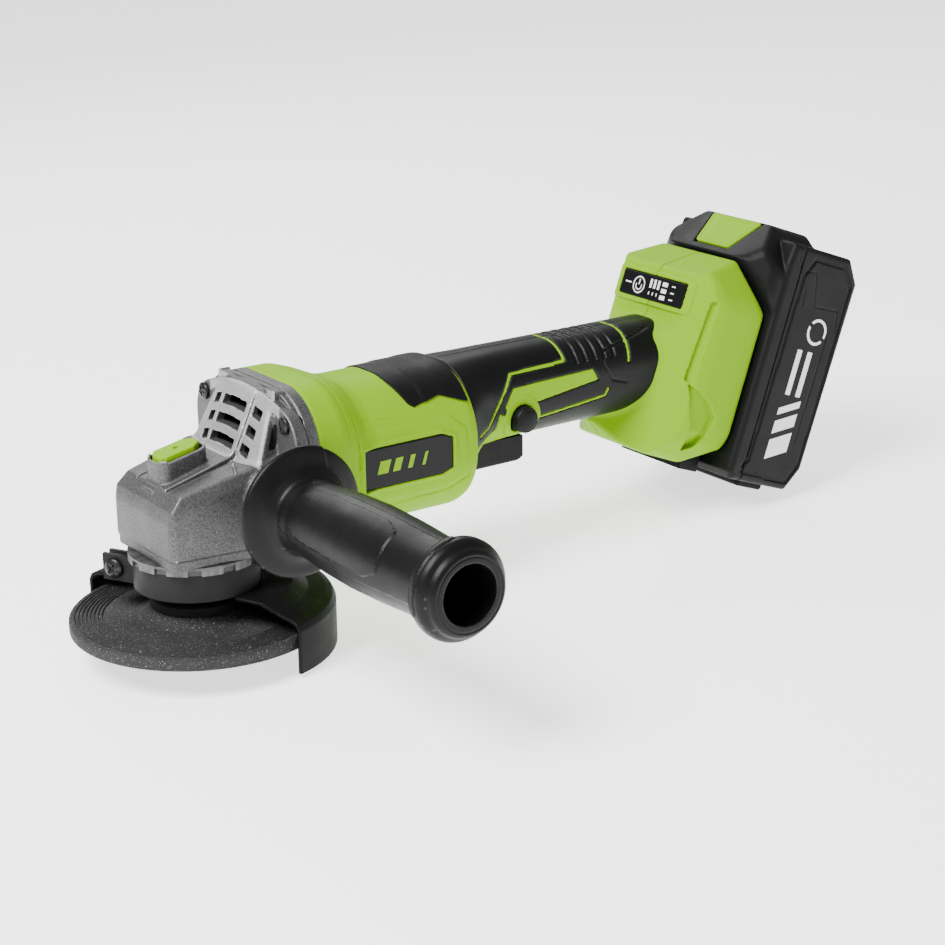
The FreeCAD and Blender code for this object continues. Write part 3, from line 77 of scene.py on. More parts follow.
def rect(a, b, half_a, half_b, r):
    """Rounded rectangle."""
    p, q = np.abs(a) - half_a + r, np.abs(b) - half_b + r
    return np.hypot(np.maximum(p, 0), np.maximum(q, 0)) + np.minimum(np.maximum(p, q), 0) - r


def block(x, y, z, low, high, r=0.4):
    """Rounded box between two corners."""
    parts = [np.abs(c - (lo + hi) / 2) - (hi - lo) / 2 + r for c, lo, hi in zip((x, y, z), low, high)]
    out = np.sqrt(sum(np.maximum(p, 0) ** 2 for p in parts))
    return out + np.minimum(np.maximum(np.maximum(parts[0], parts[1]), parts[2]), 0) - r


def rod(a, b, along, centre, radius, low, high, r=0.3):
    """Cylinder along a third axis, with rounded rims."""
    round_wall = np.hypot(a - centre[0], b - centre[1]) - radius
    return smax(round_wall, np.abs(along - (low + high) / 2) - (high - low) / 2, r)


def polygon(a, b, points):
    """Signed distance to a closed polygon."""
    best, sign = None, 1.0
    count = len(points)
    for i in range(count):
        (x1, y1), (x2, y2) = points[i], points[(i + 1) % count]
        ex, ey = x2 - x1, y2 - y1
        wx, wy = a - x1, b - y1
        t = np.clip((wx * ex + wy * ey) / (ex * ex + ey * ey), 0, 1)
        d = (wx - ex * t) ** 2 + (wy - ey * t) ** 2
        best = d if best is None else np.minimum(best, d)
        above = (b >= y1) != (b >= y2)
        side = (ex * (b - y1) - ey * (a - x1)) * (1 if y2 > y1 else -1)
        sign = sign * np.where(above & (side > 0), -1.0, 1.0)
    return sign * np.sqrt(best)


def rounded(a, b, points, r):
    """A polygon whose convex corners are rounded."""
    area = sum(p[0] * q[1] - q[0] * p[1] for p, q in zip(points, points[1:] + points[:1]))
    pts = points if area > 0 else points[::-1]
    count = len(pts)
    lines = []
    for i in range(count):
        (x1, y1), (x2, y2) = pts[i], pts[(i + 1) % count]
        length = math.hypot(x2 - x1, y2 - y1)
        nx, ny = (y2 - y1) / length, -(x2 - x1) / length
        lines.append((nx, ny, nx * x1 + ny * y1 - r))
    inner = []
    for i in range(count):
        (a1, b1, c1), (a2, b2, c2) = lines[i - 1], lines[i]
        det = a1 * b2 - a2 * b1
        inner.append(((c1 * b2 - c2 * b1) / det, (a1 * c2 - a2 * c1) / det))
    return polygon(a, b, inner) - r


def trail(a, b, points):
    """Distance to an open run of straight segments."""
    best = None
    for (x1, y1), (x2, y2) in zip(points, points[1:]):
        ex, ey = x2 - x1, y2 - y1
        t = np.clip(((a - x1) * ex + (b - y1) * ey) / (ex * ex + ey * ey), 0, 1)
        d = np.hypot(a - x1 - ex * t, b - y1 - ey * t)
        best = d if best is None else np.minimum(best, d)
    return best


def mirror(points):
    """Closed outline from its +Y half, given as (x, y)."""
    return points + [(x, -y) for x, y in reversed(points) if y != 0]


def less(base, *tools):
    """A field with others cut away."""
    for tool in tools:
        base = np.maximum(base, -tool)
    return base


# ------------------------------------------------------------------ meshes
def finish_piece(obj, material, body, nodes=()):
    """Put a piece in the scene with its looks, the body it rides on and the nodes it stands for."""
    bpy.context.scene.collection.objects.link(obj)
    obj.data.materials.clear()
    for item in material if isinstance(material, (list, tuple)) else (material,):
        obj.data.materials.append(item)
    for face in obj.data.polygons:
        face.use_smooth = True
    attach(obj, body)
    if nodes:
        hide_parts(*nodes)
    return obj


def mesh_from(name, points, faces):
    """A mesh object from points in millimetres."""
    mesh = bpy.data.meshes.new(name)
    points = np.asarray(points, dtype=np.float32) * MM
    faces = np.asarray(faces, dtype=np.int32)
    mesh.vertices.add(len(points))
    mesh.vertices.foreach_set("co", points.ravel())
    size = faces.shape[1]
    mesh.loops.add(faces.size)
    mesh.loops.foreach_set("vertex_index", faces.ravel())
    mesh.polygons.add(len(faces))
    mesh.polygons.foreach_set("loop_start", np.arange(0, faces.size, size, dtype=np.int32))
    mesh.update(calc_edges=True)
    mesh.validate()
    return bpy.data.objects.new(name, mesh)


def from_pitched(points):
    """Points of the battery's own frame, laid into the row frame."""
    c, s = math.cos(PITCH), math.sin(PITCH)
    u, y, w = points[:, 0], points[:, 1], points[:, 2]
    return np.stack([DOCK[0] + u * c + w * s, y, DOCK[2] - u * s + w * c], 1)


def carve(name, low, high, cell, field, pitched=False):
    """The surface where a distance field is zero, as quads."""
    cell = cell * COARSE
    axes = [np.arange(lo, hi + cell, cell, dtype=np.float32) for lo, hi in zip(low, high)]
    x, y, z = axes[0][:, None, None], axes[1][None, :, None], axes[2][None, None, :]
    shape = tuple(len(axis) for axis in axes)
    values = np.array(np.broadcast_to(field(x, y, z), shape), dtype=np.float32)
    for axis in range(3):
        for end in (0, -1):
            index = [slice(None)] * 3
            index[axis] = end
            values[tuple(index)] = np.maximum(values[tuple(index)], 0.1)
    grid = openvdb.FloatGrid()
    grid.copyFromArray(values)
    points, quads = grid.convertToQuads(isovalue=0.0)
    points = points * cell + np.array(low, dtype=np.float32)
    p = points[quads]
    volume = np.einsum("ij,ij->i", p[:, 0], np.cross(p[:, 1], p[:, 2])).sum()
    volume += np.einsum("ij,ij->i", p[:, 0], np.cross(p[:, 2], p[:, 3])).sum()
    if volume < 0:
        quads = quads[:, ::-1]
    if pitched:
        points = from_pitched(points)
    return mesh_from(name, points, quads)


def lathe(name, profile, around, ripple):
    """A closed skin turned about Z: profile is (radius, height), and ripple adds to the radius."""
    profile = np.asarray(profile, dtype=float)
    turns = np.radians(360.0 * np.arange(around) / around)[None, :]
    radii, heights = profile[:, 0][:, None], profile[:, 1][:, None]
    radii = radii + ripple(heights, turns)
    x, y = radii * np.cos(turns), radii * np.sin(turns)
    points = np.stack([x, y, np.broadcast_to(heights, x.shape)], 2)
    here = np.arange(around)
    after = (here + 1) % around
    faces = []
    for row in range(len(profile) - 1):
        a, b = row * around + here, row * around + after
        faces.append(np.stack([a, b, b + around, a + around], 1))
    return mesh_from(name, points.reshape(-1, 3), np.concatenate(faces))


def dense(profile, cell=0.6):
    """More points along a profile's straight runs."""
    out = [profile[0]]
    for (a, b), (c, d) in zip(profile, profile[1:]):
        count = max(1, int(math.hypot(c - a, d - b) / cell))
        out += [(a + (c - a) * i / count, b + (d - b) * i / count) for i in range(1, count + 1)]
    return out


def softened_profile(profile, r=0.6):
    """A profile whose corners are rounded by cutting them with short arcs."""
    out = [profile[0]]
    for before, here, after in zip(profile, profile[1:], profile[2:]):
        a, h, b = np.array(before, float), np.array(here, float), np.array(after, float)
        la, lb = np.linalg.norm(a - h), np.linalg.norm(b - h)
        cut = min(r, la * 0.45, lb * 0.45)
        p, q = h + (a - h) / la * cut, h + (b - h) / lb * cut
        for t in np.linspace(0, 1, 5):
            out.append(tuple((1 - t) ** 2 * p + 2 * t * (1 - t) * h + t * t * q))
    out.append(profile[-1])
    return out


# ------------------------------------------------------------------ materials
def material(name, color, rough, metal=0.0, grain=None, spots=None, bump=None, coat=0.0,
             wear_and_highlight=None, spec=0.5, mottled=None):
    """A procedural surface. grain and mottled: (scale, amount) vary the colour's tone finely and broadly;
    bump: list of (scale, distance in mm, detail); wear_and_highlight: (low, high, amount, colour) lightens
    raised edges, as edge wear and as painted highlight;
    spots: (scale, threshold, colour)."""
    mat = bpy.data.materials.new(name)
    mat.use_nodes = True
    nodes, links = mat.node_tree.nodes, mat.node_tree.links
    shader = nodes["Principled BSDF"]
    shader.inputs["Metallic"].default_value = metal
    shader.inputs["Specular IOR Level"].default_value = spec
    shader.inputs["Coat Weight"].default_value = coat
    shader.inputs["Coat Roughness"].default_value = 0.12
    coords = nodes.new("ShaderNodeTexCoord")

    def noise(scale, detail=3.0, roughness=0.6):
        node = nodes.new("ShaderNodeTexNoise")
        node.inputs["Scale"].default_value = scale
        node.inputs["Detail"].default_value = detail
        node.inputs["Roughness"].default_value = roughness
        links.new(coords.outputs["Object"], node.inputs["Vector"])
        return node

    def ramp(source, low, high, dark, light):
        node = nodes.new("ShaderNodeMapRange")
        node.inputs["From Min"].default_value = low
        node.inputs["From Max"].default_value = high
        node.inputs["To Min"].default_value = dark
        node.inputs["To Max"].default_value = light
        links.new(source, node.inputs["Value"])
        return node.outputs["Result"]

    def mix(kind, factor, a, b):
        node = nodes.new("ShaderNodeMix")
        node.data_type = "RGBA"
        node.blend_type = kind
        if isinstance(factor, float):
            node.inputs[0].default_value = factor
        else:
            links.new(factor, node.inputs[0])
        for socket, value in ((node.inputs[6], a), (node.inputs[7], b)):
            if isinstance(value, tuple):
                socket.default_value = value
            else:
                links.new(value, socket)
        return node.outputs[2]

    shade = (*color, 1.0)
    if grain:
        fine = noise(grain[0], 4.0, 0.7)
        dark = tuple(c * (1 - grain[1]) for c in color) + (1.0,)
        light = tuple(min(1.0, c * (1 + grain[1])) for c in color) + (1.0,)
        shade = mix("MIX", ramp(fine.outputs["Fac"], 0.32, 0.68, 0.0, 1.0), dark, light)
    if mottled:
        broad = noise(mottled[0], 2.0, 0.5)
        dark = (1 - mottled[1],) * 3 + (1.0,)
        tint = mix("MIX", ramp(broad.outputs["Fac"], 0.3, 0.7, 0.0, 1.0), dark, (1.0, 1.0, 1.0, 1.0))
        shade = mix("MULTIPLY", 1.0, shade, tint)
    if spots:
        fine = noise(spots[0], 1.0, 0.4)
        chosen = ramp(fine.outputs["Fac"], spots[1], spots[1] + 0.03, 0.0, 1.0)
        shade = mix("MIX", chosen, shade, (*spots[2], 1.0))
    # raised edges lightened by pointiness: edge wear, and on some looks a painted highlight
    if wear_and_highlight:
        geometry = nodes.new("ShaderNodeNewGeometry")
        edge = ramp(geometry.outputs["Pointiness"], wear_and_highlight[0], wear_and_highlight[1], 0.0, wear_and_highlight[2])
        shade = mix("MIX", edge, shade, (*wear_and_highlight[3], 1.0))
    if isinstance(shade, tuple):
        shader.inputs["Base Color"].default_value = shade
    else:
        links.new(shade, shader.inputs["Base Color"])
    smudge = noise(60.0, 3.0, 0.6)
    polish = ramp(smudge.outputs["Fac"], 0.3, 0.7, rough * 0.88, min(1.0, rough * 1.12))
    links.new(polish, shader.inputs["Roughness"])
    height = None
    for scale, distance, detail in bump or ():
        node = nodes.new("ShaderNodeBump")
        node.inputs["Strength"].default_value = 1.0
        node.inputs["Distance"].default_value = distance * MM
        links.new(noise(scale, detail, 0.6).outputs["Fac"], node.inputs["Height"])
        if height:
            links.new(height, node.inputs["Normal"])
        height = node.outputs["Normal"]
    if height:
        links.new(height, shader.inputs["Normal"])
    return mat


LIME = material("lime plastic", (0.195, 0.395, 0.0), 0.56, grain=(900.0, 0.025), mottled=(24.0, 0.03),
                bump=[(1600.0, 0.03, 2.0), (160.0, 0.02, 1.0)], spec=0.08)
BLACK = material("black plastic", (0.004, 0.004, 0.0045), 0.5, grain=(1400.0, 0.18), mottled=(30.0, 0.1),
                 bump=[(1500.0, 0.05, 3.0)], spec=0.15)
# the grip's raised edges and outlines are lightened to grey: a painted highlight
RUBBER = material("soft black grip", (0.0035, 0.0035, 0.004), 0.4, grain=(1200.0, 0.2), mottled=(26.0, 0.12),
                  bump=[(1100.0, 0.05, 3.0)], spec=0.16, wear_and_highlight=(0.515, 0.57, 0.35, (0.07, 0.07, 0.07)))
# raised edges and chamfers of the cast aluminium are lightened to near white: a painted highlight
CAST = material("cast aluminium", (0.09, 0.09, 0.092), 0.48, metal=0.6, grain=(1500.0, 0.6),
                mottled=(90.0, 0.16), bump=[(1500.0, 0.16, 4.0), (420.0, 0.07, 2.0)],
                wear_and_highlight=(0.52, 0.60, 0.6, (0.62, 0.62, 0.63)))
BRIGHT = material("bead-blasted aluminium", (0.36, 0.36, 0.365), 0.5, metal=0.6, grain=(1500.0, 0.22),
                  mottled=(120.0, 0.08), bump=[(1700.0, 0.12, 4.0)],
                  wear_and_highlight=(0.53, 0.62, 0.5, (0.85, 0.85, 0.86)))
BLACKENED = material("satin black steel", (0.004, 0.004, 0.0045), 0.52, metal=0.0, grain=(700.0, 0.2),
                     mottled=(40.0, 0.2), bump=[(900.0, 0.02, 2.0)],
                     wear_and_highlight=(0.54, 0.66, 0.35, (0.05, 0.05, 0.052)), spec=0.12)
# a darker copy of the cast aluminium for the bearing retainer: painted shade
SHADED_CAST = material("cast aluminium darkened for shade", (0.055, 0.055, 0.056), 0.45, metal=0.5, grain=(1500.0, 0.5),
                       bump=[(1500.0, 0.1, 4.0)], wear_and_highlight=(0.53, 0.62, 0.4, (0.3, 0.3, 0.3)))
GRIT = material("resin-bonded grit", (0.014, 0.0137, 0.014), 0.8, grain=(1700.0, 0.55), mottled=(60.0, 0.25),
                spots=(2600.0, 0.70, (0.34, 0.34, 0.36)), bump=[(1500.0, 0.35, 5.0), (500.0, 0.15, 2.0)])
STEEL = material("machined steel", (0.42, 0.42, 0.43), 0.3, metal=1.0, grain=(500.0, 0.12),
                 bump=[(900.0, 0.01, 2.0)])
DARK_STEEL = material("black-oxide screw steel", (0.03, 0.03, 0.032), 0.34, metal=0.8, grain=(500.0, 0.2),
                      bump=[(900.0, 0.02, 2.0)])
BRONZE = material("sintered bronze", (0.42, 0.26, 0.10), 0.45, metal=0.9, grain=(900.0, 0.2),
                  bump=[(1200.0, 0.03, 3.0)])
COPPER = material("enamelled copper", (0.48, 0.15, 0.05), 0.32, metal=0.7, grain=(300.0, 0.2),
                  bump=[(700.0, 0.08, 2.0)], coat=0.3)
IRON = material("stacked laminations", (0.16, 0.16, 0.17), 0.42, metal=0.8, grain=(700.0, 0.2),
                bump=[(1400.0, 0.04, 2.0)])
BOARD = material("circuit board", (0.012, 0.09, 0.035), 0.35, grain=(260.0, 0.35), coat=0.3,
                 bump=[(300.0, 0.06, 2.0)])
GLOSS = material("gloss black panel", (0.0035, 0.0035, 0.004), 0.3, grain=(500.0, 0.1), spec=0.16,
                 bump=[(50.0, 0.004, 1.0)])
BRASS = material("stamped brass", (0.55, 0.38, 0.12), 0.28, metal=1.0, grain=(500.0, 0.15),
                 bump=[(700.0, 0.015, 2.0)])
SLEEVE = material("cell sleeve", (0.03, 0.10, 0.28), 0.3, grain=(400.0, 0.1), coat=0.3,
                  bump=[(200.0, 0.02, 1.0)])
PRINT = material("white print", (0.82, 0.82, 0.80), 0.5, grain=(900.0, 0.04), bump=[(900.0, 0.01, 2.0)])


# ------------------------------------------------------------------ surface features
def along_x(x, stations, soften=2.5):
    """Section sizes along X, eased where they change."""
    places = [s[0] for s in stations]
    out = []
    for i in range(1, len(stations[0])):
        values = [s[i] for s in stations]
        total = sum(np.interp(x + shift, places, values) for shift in np.linspace(-soften, soften, 9))
        out.append((total / 9).astype(np.float32))
    return out


def groove(body, line, width, depth):
    """A channel sunk into a surface along a line."""
    return np.maximum(body, np.minimum(width / 2 - line, body + depth))


def raised(body, area, height):
    """The surface lifted by a height inside an area."""
    return np.minimum(body, np.maximum(area, body - height))


# ------------------------------------------------------------------ gear case
SCREWS = [(y, z) for y in (-30.0, 30.0) for z in (MOTOR_Z - 24.8, MOTOR_Z + 24.8)]


def gear_case(x, y, z):
    ay = np.abs(y)
    plan = rounded(x, y, mirror([(-22.5, 22.7), (27.2, 28.7)]), 3.6)
    side = polygon(x, z, [(-22.1, 31.7), (-22.1, 35.6), (-22.5, 36.0), (-22.5, 50), (-20.9, 55.2),
                          (-16.4, 60), (12, 66.6), (27.2, 70.2), (27.2, 31.7)])
    shoulder = 22.7 + 0.12 * (x + 22.5)
    crest = 60 + 0.2324 * (x + 16.4)
    bevel = 0.911 * (ay - shoulder + 2.4) + 0.414 * (z - crest)
    head = smax(smax(plan, side, 1.0), bevel, 0.8)
    lip = np.maximum(35.9 - z, 0) * 0.9
    head = np.maximum(head, plan + np.minimum(lip, 0.7))
    ridge = [(-20, 50), (-16.9, 60.2), (-14, 61.0), (12, 68.1), (27.2, 71.8), (27.2, 50)]
    head = np.minimum(head, smax(polygon(x, z, ridge), ay - 10.4, 0.35))
    bow = x - 11.6 - 0.0048 * y * y
    face = -0.904 * bow + 0.428 * (z - 66)
    flank = 0.974 * (ay - 25.4 + 0.2308 * (z - 65.7))
    tower = smax(smax(face, flank, 1.6), z - 91.6 + 0.0065 * y * y, 1.2)
    tower = np.maximum(np.maximum(tower, x - 27.2), 50 - z)
    middle = smax(smax(face - 1.1, ay - 10.9, 0.4), z - 91.9 + 0.0065 * y * y, 0.8)
    middle = np.maximum(np.maximum(middle, x - 27.2), 60 - z)
    tower = np.minimum(tower, middle)
    body = smin(head, tower, 1.2)
    tall = np.where(z > MOTOR_Z, z + 0.0062 * y * y, z) - MOTOR_Z
    plate = smax(rect(y, tall, 38.0, 34.7, 9.0), np.abs(x - 26.6) - 2.6, 0.7)
    collar = np.maximum(rect(y, z - MOTOR_Z, 36.5, 35.4, 23.0), np.abs(x - 31.5) - 3.8)
    collar = groove(collar, np.abs(x - 29.9), 0.9, 0.7)
    body = smin(body, plate, 1.5)
    body = np.minimum(body, collar)
    for side_y in (-1, 1):
        boss = rod(x, z, y * side_y, SIDE_BOSS, 9.0, 15, 33.0, 0.8)
        body = smin(body, boss, 2.0)
    wedge_top = 92.0 + 0.08 * (ay - 10.5)
    taper = np.abs(x - 27.4) - 2.2 + (20.8 - ay) * 0.08
    lug = smax(smax(np.abs(ay - 15.6) - 5.1, z - wedge_top, 0.3), taper, 0.3)
    lug = np.maximum(lug, 80 - z)
    tab = block(x, ay, z, (24.9, 19.6, 82), (29.9, 20.9, 93.1), 0.3)
    body = np.minimum(np.minimum(body, lug), tab)
    boss_top = z - 68.4 - 0.211 * (x + 16.4)
    boss_plan = rect(x + 5.95, y, 10.45, 7.0, 4.2)
    boss = smax(smax(boss_plan, boss_top, 0.5), 56 - z, 0.1)
    ears = np.maximum(np.maximum(boss_plan, -rect(x + 5.95, y, 9.3, 5.9, 3.2)),
                      np.maximum(boss_top - 0.9, np.maximum(x + 13.6, np.abs(ay - 5.6) - 1.6)))
    body = smin(body, boss, 1.0)
    body = np.minimum(body, ears)
    dash = trail(x, y, [(-18.7, 4.6), (-18.7, -3.4)])
    body = np.minimum(body, np.maximum(np.maximum(dash - 0.45, body - 0.4), 56 - z))
    dash = trail(x, ay, [(9.5, 15.1), (6.2, 22.8)])
    body = np.minimum(body, np.maximum(np.maximum(dash - 0.5, body - 0.45), 56 - z))
    step_line = trail(x, ay, [(-16, 11.4), (13, 11.4)])
    body = np.maximum(body, np.minimum(np.minimum(1.0 - step_line, body + 0.9), z - 56))
    tools = [rod(x, y, z, (0, 0), 18.25, 20, 55, 0.1), rod(y, z, x, MOTOR_AXIS, 7.6, 9.6, 22.6, 0.1),
             rod(x, y, z, (0, 0), 6.05, 54, 61.3, 0.1), rod(y, z, x, MOTOR_AXIS, 11.05, 22, 33, 0.1),
             rod(x, y, z, (-8.2, 0), 1.6, 50, 70, 0.1), rod(x, y, z, (0, 0), 26.3, 15, 31.7, 0.1)]
    air = less(rod(y, z, x, MOTOR_AXIS, 29.5, 25.5, 40, 0.1), rod(y, z, x, MOTOR_AXIS, 13.6, 24, 29.5, 0.1))
    well = np.maximum(rect(x + 5.95, y, 9.2, 5.85, 3.2), 62.4 - z)
    tools += [air, well]
    for sy, sz in SCREWS:
        tools.append(rod(y, z, x, (sy, sz), 2.1, 15, 40, 0.1))
        tools.append(rod(y, z, x, (sy, sz), 4.0, 10, 24, 0.1))
    for side_y in (-1, 1):
        tools.append(rod(x, z, y * side_y, SIDE_BOSS, 4.0, 19, 40, 0.1))
    for low in (70.2, 76.9, 83.6):
        arch = z - low + 0.008 * y * y
        high = np.abs(arch - 1.8) - 1.8
        for inner, outer in ((-1, 8.5), (11.7, 17.4)):
            across = np.abs(ay - (inner + outer) / 2) - (outer - inner) / 2
            slot = smax(high, across, 0.5)
            tools.append(np.maximum(np.maximum(slot, 4 - x), x - 28))
    body = less(body, *tools)
    return np.maximum(body, x - 35.25)


def grille_zones(mesh):
    """Bright grille face, and satin black as painted shade on the casting's faces in the air space, by where
    each face of the casting lies.
    """
    count = len(mesh.polygons)
    centre, facing = np.empty(count * 3, dtype=np.float32), np.empty(count * 3, dtype=np.float32)
    mesh.polygons.foreach_get("center", centre)
    mesh.polygons.foreach_get("normal", facing)
    centre, facing = centre.reshape(-1, 3) / MM, facing.reshape(-1, 3)
    bow = centre[:, 0] - 11.6 - 0.0048 * centre[:, 1] ** 2
    off = -0.904 * bow + 0.428 * (centre[:, 2] - 66)
    zone = np.zeros(count, dtype=np.int32)
    along, across, height = centre[:, 0], np.abs(centre[:, 1]), centre[:, 2]
    bright = (off > -0.8) & (facing[:, 0] < -0.3) & (along > 8) & (height > 66) & (across < 26)
    inside = (off < -2.4) & (across < 24) & (along > 16) & (along < 29) & (height > 60) & (height < 88)
    zone[bright] = 1
    # the casting's faces inside the air space get the satin black: painted shade in the recesses
    zone[inside] = 2
    mesh.polygons.foreach_set("material_index", zone)


case = finish_piece(carve("gear_case_body", (-23.5, -39, 22), (36.0, 39, 94.2), 0.42, gear_case),
                    [CAST, BRIGHT, BLACKENED], "housing", ["gear_case"])
grille_zones(case.data)


def pan_screw(y, z, x, length):
    """Pan head with a cross recess; its axis is the third coordinate and its face looks down it."""
    head = smax(rod(y, z, x, (0, 0), 3.5, 0, 2.2, 0.3), np.hypot(np.hypot(y, z), x - 6.0) - 6.0, 0.3)
    thread = np.abs(((x * 1.25) % 1.0) - 0.5) * 0.3
    shank = rod(y, z, x, (0, 0), 1.95, 2, length, 0.2) + thread
    cross = np.minimum(np.maximum(np.abs(y) - 0.55, np.abs(z) - 2.2),
                       np.maximum(np.abs(z) - 0.55, np.abs(y) - 2.2))
    cross = np.maximum(cross, x - 1.4 + np.hypot(y, z) * 0.3)
    return less(np.minimum(head, shank), cross)


def screw_at(name, move, turned_by, body, node, length=16.0, larger=1.0):
    """A pan screw laid at a place, with its axis turned."""
    low, high = (-4, -4, -0.4), (4, 4, length + 0.6)
    obj = carve(name, low, high, 0.2, lambda y, z, x: pan_screw(y, z, x, length))
    obj.data.transform(Matrix.Scale(larger, 4))
    obj.data.transform(turned_by.to_4x4())
    obj.data.transform(Matrix.Translation(Vector(move) * MM))
    return finish_piece(obj, DARK_STEEL, body, [node])


facing_rear = Matrix(((0, 0, 1), (1, 0, 0), (0, 1, 0)))
for number, (sy, sz) in enumerate(SCREWS):
    twist = Matrix.Rotation(0.5 + number * 0.8, 3, "Z")
    screw_at(f"gear_case_screw_{number + 1}", (21.8, sy, sz), facing_rear @ twist,
             "housing", "gear_case_screws")

# the guard's clamp screw, square to the clamp's lug
into = Vector((0.8746, 0.4848, 0))
lug_frame = Matrix((into.cross(Vector((0, 0, 1))), (0, 0, -1), into)).transposed()
clamp_seat = Vector((-25.47, 18.65, 22.7)) - into * 2.5
screw_at("clamp_screw_body", clamp_seat, lug_frame @ Matrix.Rotation(0.6, 3, "Z"),
         "guard", "guard_clamp_screw", 10.4, 1.14)


# ------------------------------------------------------------------ spindle lock button
def lock_cap(x, y, z):
    plan = rounded(x, y, mirror([(-14.4, 3.6), (-12.9, 5.2), (-1.2, 5.2), (2.5, 2.4)]), 0.4)
    top = z - 70.6 - 0.2 * (x + 14.6)
    cap = smax(smax(plan, top, 0.5), 67.1 - z, 0.2)
    cap = less(cap, rod(x, y, z, (-6.2, 0), 1.05, 69.0, 76, 0.1))
    return np.maximum(cap, z - 73.85)


finish_piece(carve("spindle_lock_cap", (-15.2, -6, 66.4), (3.4, 6, 74.6), 0.2, lock_cap),
             LIME, "spindle_lock", ["spindle_lock_button"])


# ------------------------------------------------------------------ motor housing
HOUSING = [(35.0, 36.5, 35.4, 23), (46, 36.5, 35.4, 23.5), (49, 35.6, 34.6, 24), (53, 34.4, 33.4, 25),
           (56, 33.4, 32.1, 26), (60, 32, 30.4, 27), (64, 31.5, 29.95, 28), (109, 31.5, 29.95, 28),
           (112.5, 30.2, 28.6, 26.5)]
PANEL = [(54, 43), (98, 43), (106, 47), (106, 66), (100, 72), (54, 72)]
PLATE = [(56.5, 49.7), (93.8, 49.7), (99.2, 51.5), (99.2, 64.1), (94.0, 66.2), (56.5, 66.2)]


def barrel(x, y, z, more=0.0):
    half_y, half_z, corner = along_x(x, HOUSING, 1.2)
    return rect(y, z - MOTOR_Z, half_y + more, half_z + more, corner + more)


def motor_housing(x, y, z):
    ay = np.abs(y)
    skin = barrel(x, y, z)
    panel = polygon(x, z, PANEL)
    body = raised(skin, smax(panel, 18 - ay, 0.2), 0.55)
    plate = polygon(x, z, PLATE)
    frame_edge = np.maximum(plate - 1.5, 20 - ay)
    body = raised(body, frame_edge, 0.7)
    body = groove(body, np.maximum(np.abs(x - 49.6), 62 - z), 0.7, 0.35)
    body = groove(body, np.maximum(np.abs(x - 54.2), 60 - z), 0.7, 0.35)
    low_line = trail(x, z, [(50, 44.2), (74, 40.4), (99, 41.6), (108, 46)])
    body = groove(body, np.maximum(low_line, 10 - ay), 0.8, 0.45)
    body = groove(body, np.maximum(trail(x, z, [(60, 76.0), (78, 74.2)]), 10 - ay), 0.6, 0.3)
    body = smax(body, np.abs(x - 73.9) - 38.55, 0.7)
    body = np.maximum(body, -np.maximum(plate, 31.02 - ay))
    inside = [rod(y, z, x, MOTOR_AXIS, 30.5, 30, 50, 0.1), rod(y, z, x, MOTOR_AXIS, 27.1, 49, 101.5, 0.1),
              rod(y, z, x, MOTOR_AXIS, 26.8, 104.3, 120, 0.1)]
    body = less(body, *inside)
    body = np.minimum(body, rod(y, z, x, MOTOR_AXIS, 14, 98.2, 105, 0.3))
    body = less(body, rod(y, z, x, MOTOR_AXIS, 11.05, 90, 112, 0.1))
    for number in range(6):
        turn = math.pi / 3 * number + math.pi / 6
        hole = (20.2 * math.cos(turn), MOTOR_Z + 20.2 * math.sin(turn))
        body = less(body, rod(y, z, x, hole, 4, 98, 108, 0.1))
    return body


finish_piece(carve("motor_housing_shell", (34.6, -38, 21), (113.2, 38, 94), 0.5, motor_housing),
             LIME, "housing", ["motor_housing"])

# outlines seen from the side, as x and z
SADDLE = [(79, 94), (79.5, 86), (83, 78.5), (85, 77), (98, 79.5), (110.4, 75.1), (110.4, 94)]


def saddle(x, y, z):
    outline = rounded(x, z, SADDLE, 0.8)
    more = 0.9 - 0.35 * step((90.4 - x) / 0.8) + 0.3 * step((x - 99) / 4) * step((z - 79) / 4)
    skin = barrel(x, y, z) - more
    body = smax(skin, outline, 0.5)
    body = groove(body, np.abs(x - 90.6), 0.5, 0.25)
    return np.maximum(body, -barrel(x, y, z) - 0.9)


finish_piece(carve("housing_saddle_cover", (78, -33, 73.6), (111.4, 33, 89.9), 0.3, saddle),
             BLACK, "housing", ["housing_saddle"])


def name_plate(x, y, z):
    plate = rounded(x, z, PLATE, 0.6)
    return smax(plate + 0.15, np.abs(np.abs(y) - 31.5) - 0.45, 0.15)


def slanted_bars(x, y, z):
    """Four plain bars of falling width, in place of a name."""
    bars = None
    for number, width in enumerate((5.0, 3.4, 2.2, 1.4)):
        centre = 66.5 + number * 6.4
        bar = np.maximum(np.abs(x - centre - 0.32 * (z - 58)) - width / 2, np.abs(z - 58) - 2.6)
        bars = bar if bars is None else np.minimum(bars, bar)
    return smax(bars, np.abs(np.abs(y) - 31.97) - 0.06, 0.03)


finish_piece(carve("name_plate_panels", (56, -32.4, 49), (99.8, 32.4, 67), 0.35, name_plate),
             GLOSS, "housing", ["name_plates"])
for side, low, high in (("right", -32.2, -31.6), ("left", 31.6, 32.2)):
    cell = 0.08
    finish_piece(carve("plate_bars_" + side, (60, low, 54), (94, high, 62), cell, slanted_bars),
                 LIME, "housing", ["name_plates"])


# ------------------------------------------------------------------ handle
HANDLE = [(112.4, 59.8, 27.2, 27.2, 24), (118, 63.6, 24.6, 23.4, 21), (126, 67.4, 20.8, 19.6, 17.5),
          (138, 67.9, 19.8, 19.2, 16.8), (150, 68, 19.5, 19, 16.5), (232, 68, 19.5, 18.8, 16.5)]
SHELL_SCREWS = [(160, 60), (190, 60), (190, 76), (160, 76)]
BUTTON = (142.5, 60.4)


def from_button(x, z):
    return np.hypot(x - BUTTON[0], z - BUTTON[1])


def handle_skin(x, y, z):
    centre, half_y, half_z, corner = along_x(x, HANDLE, 3.0)
    return rect(y, z - centre, half_y, half_z, corner)


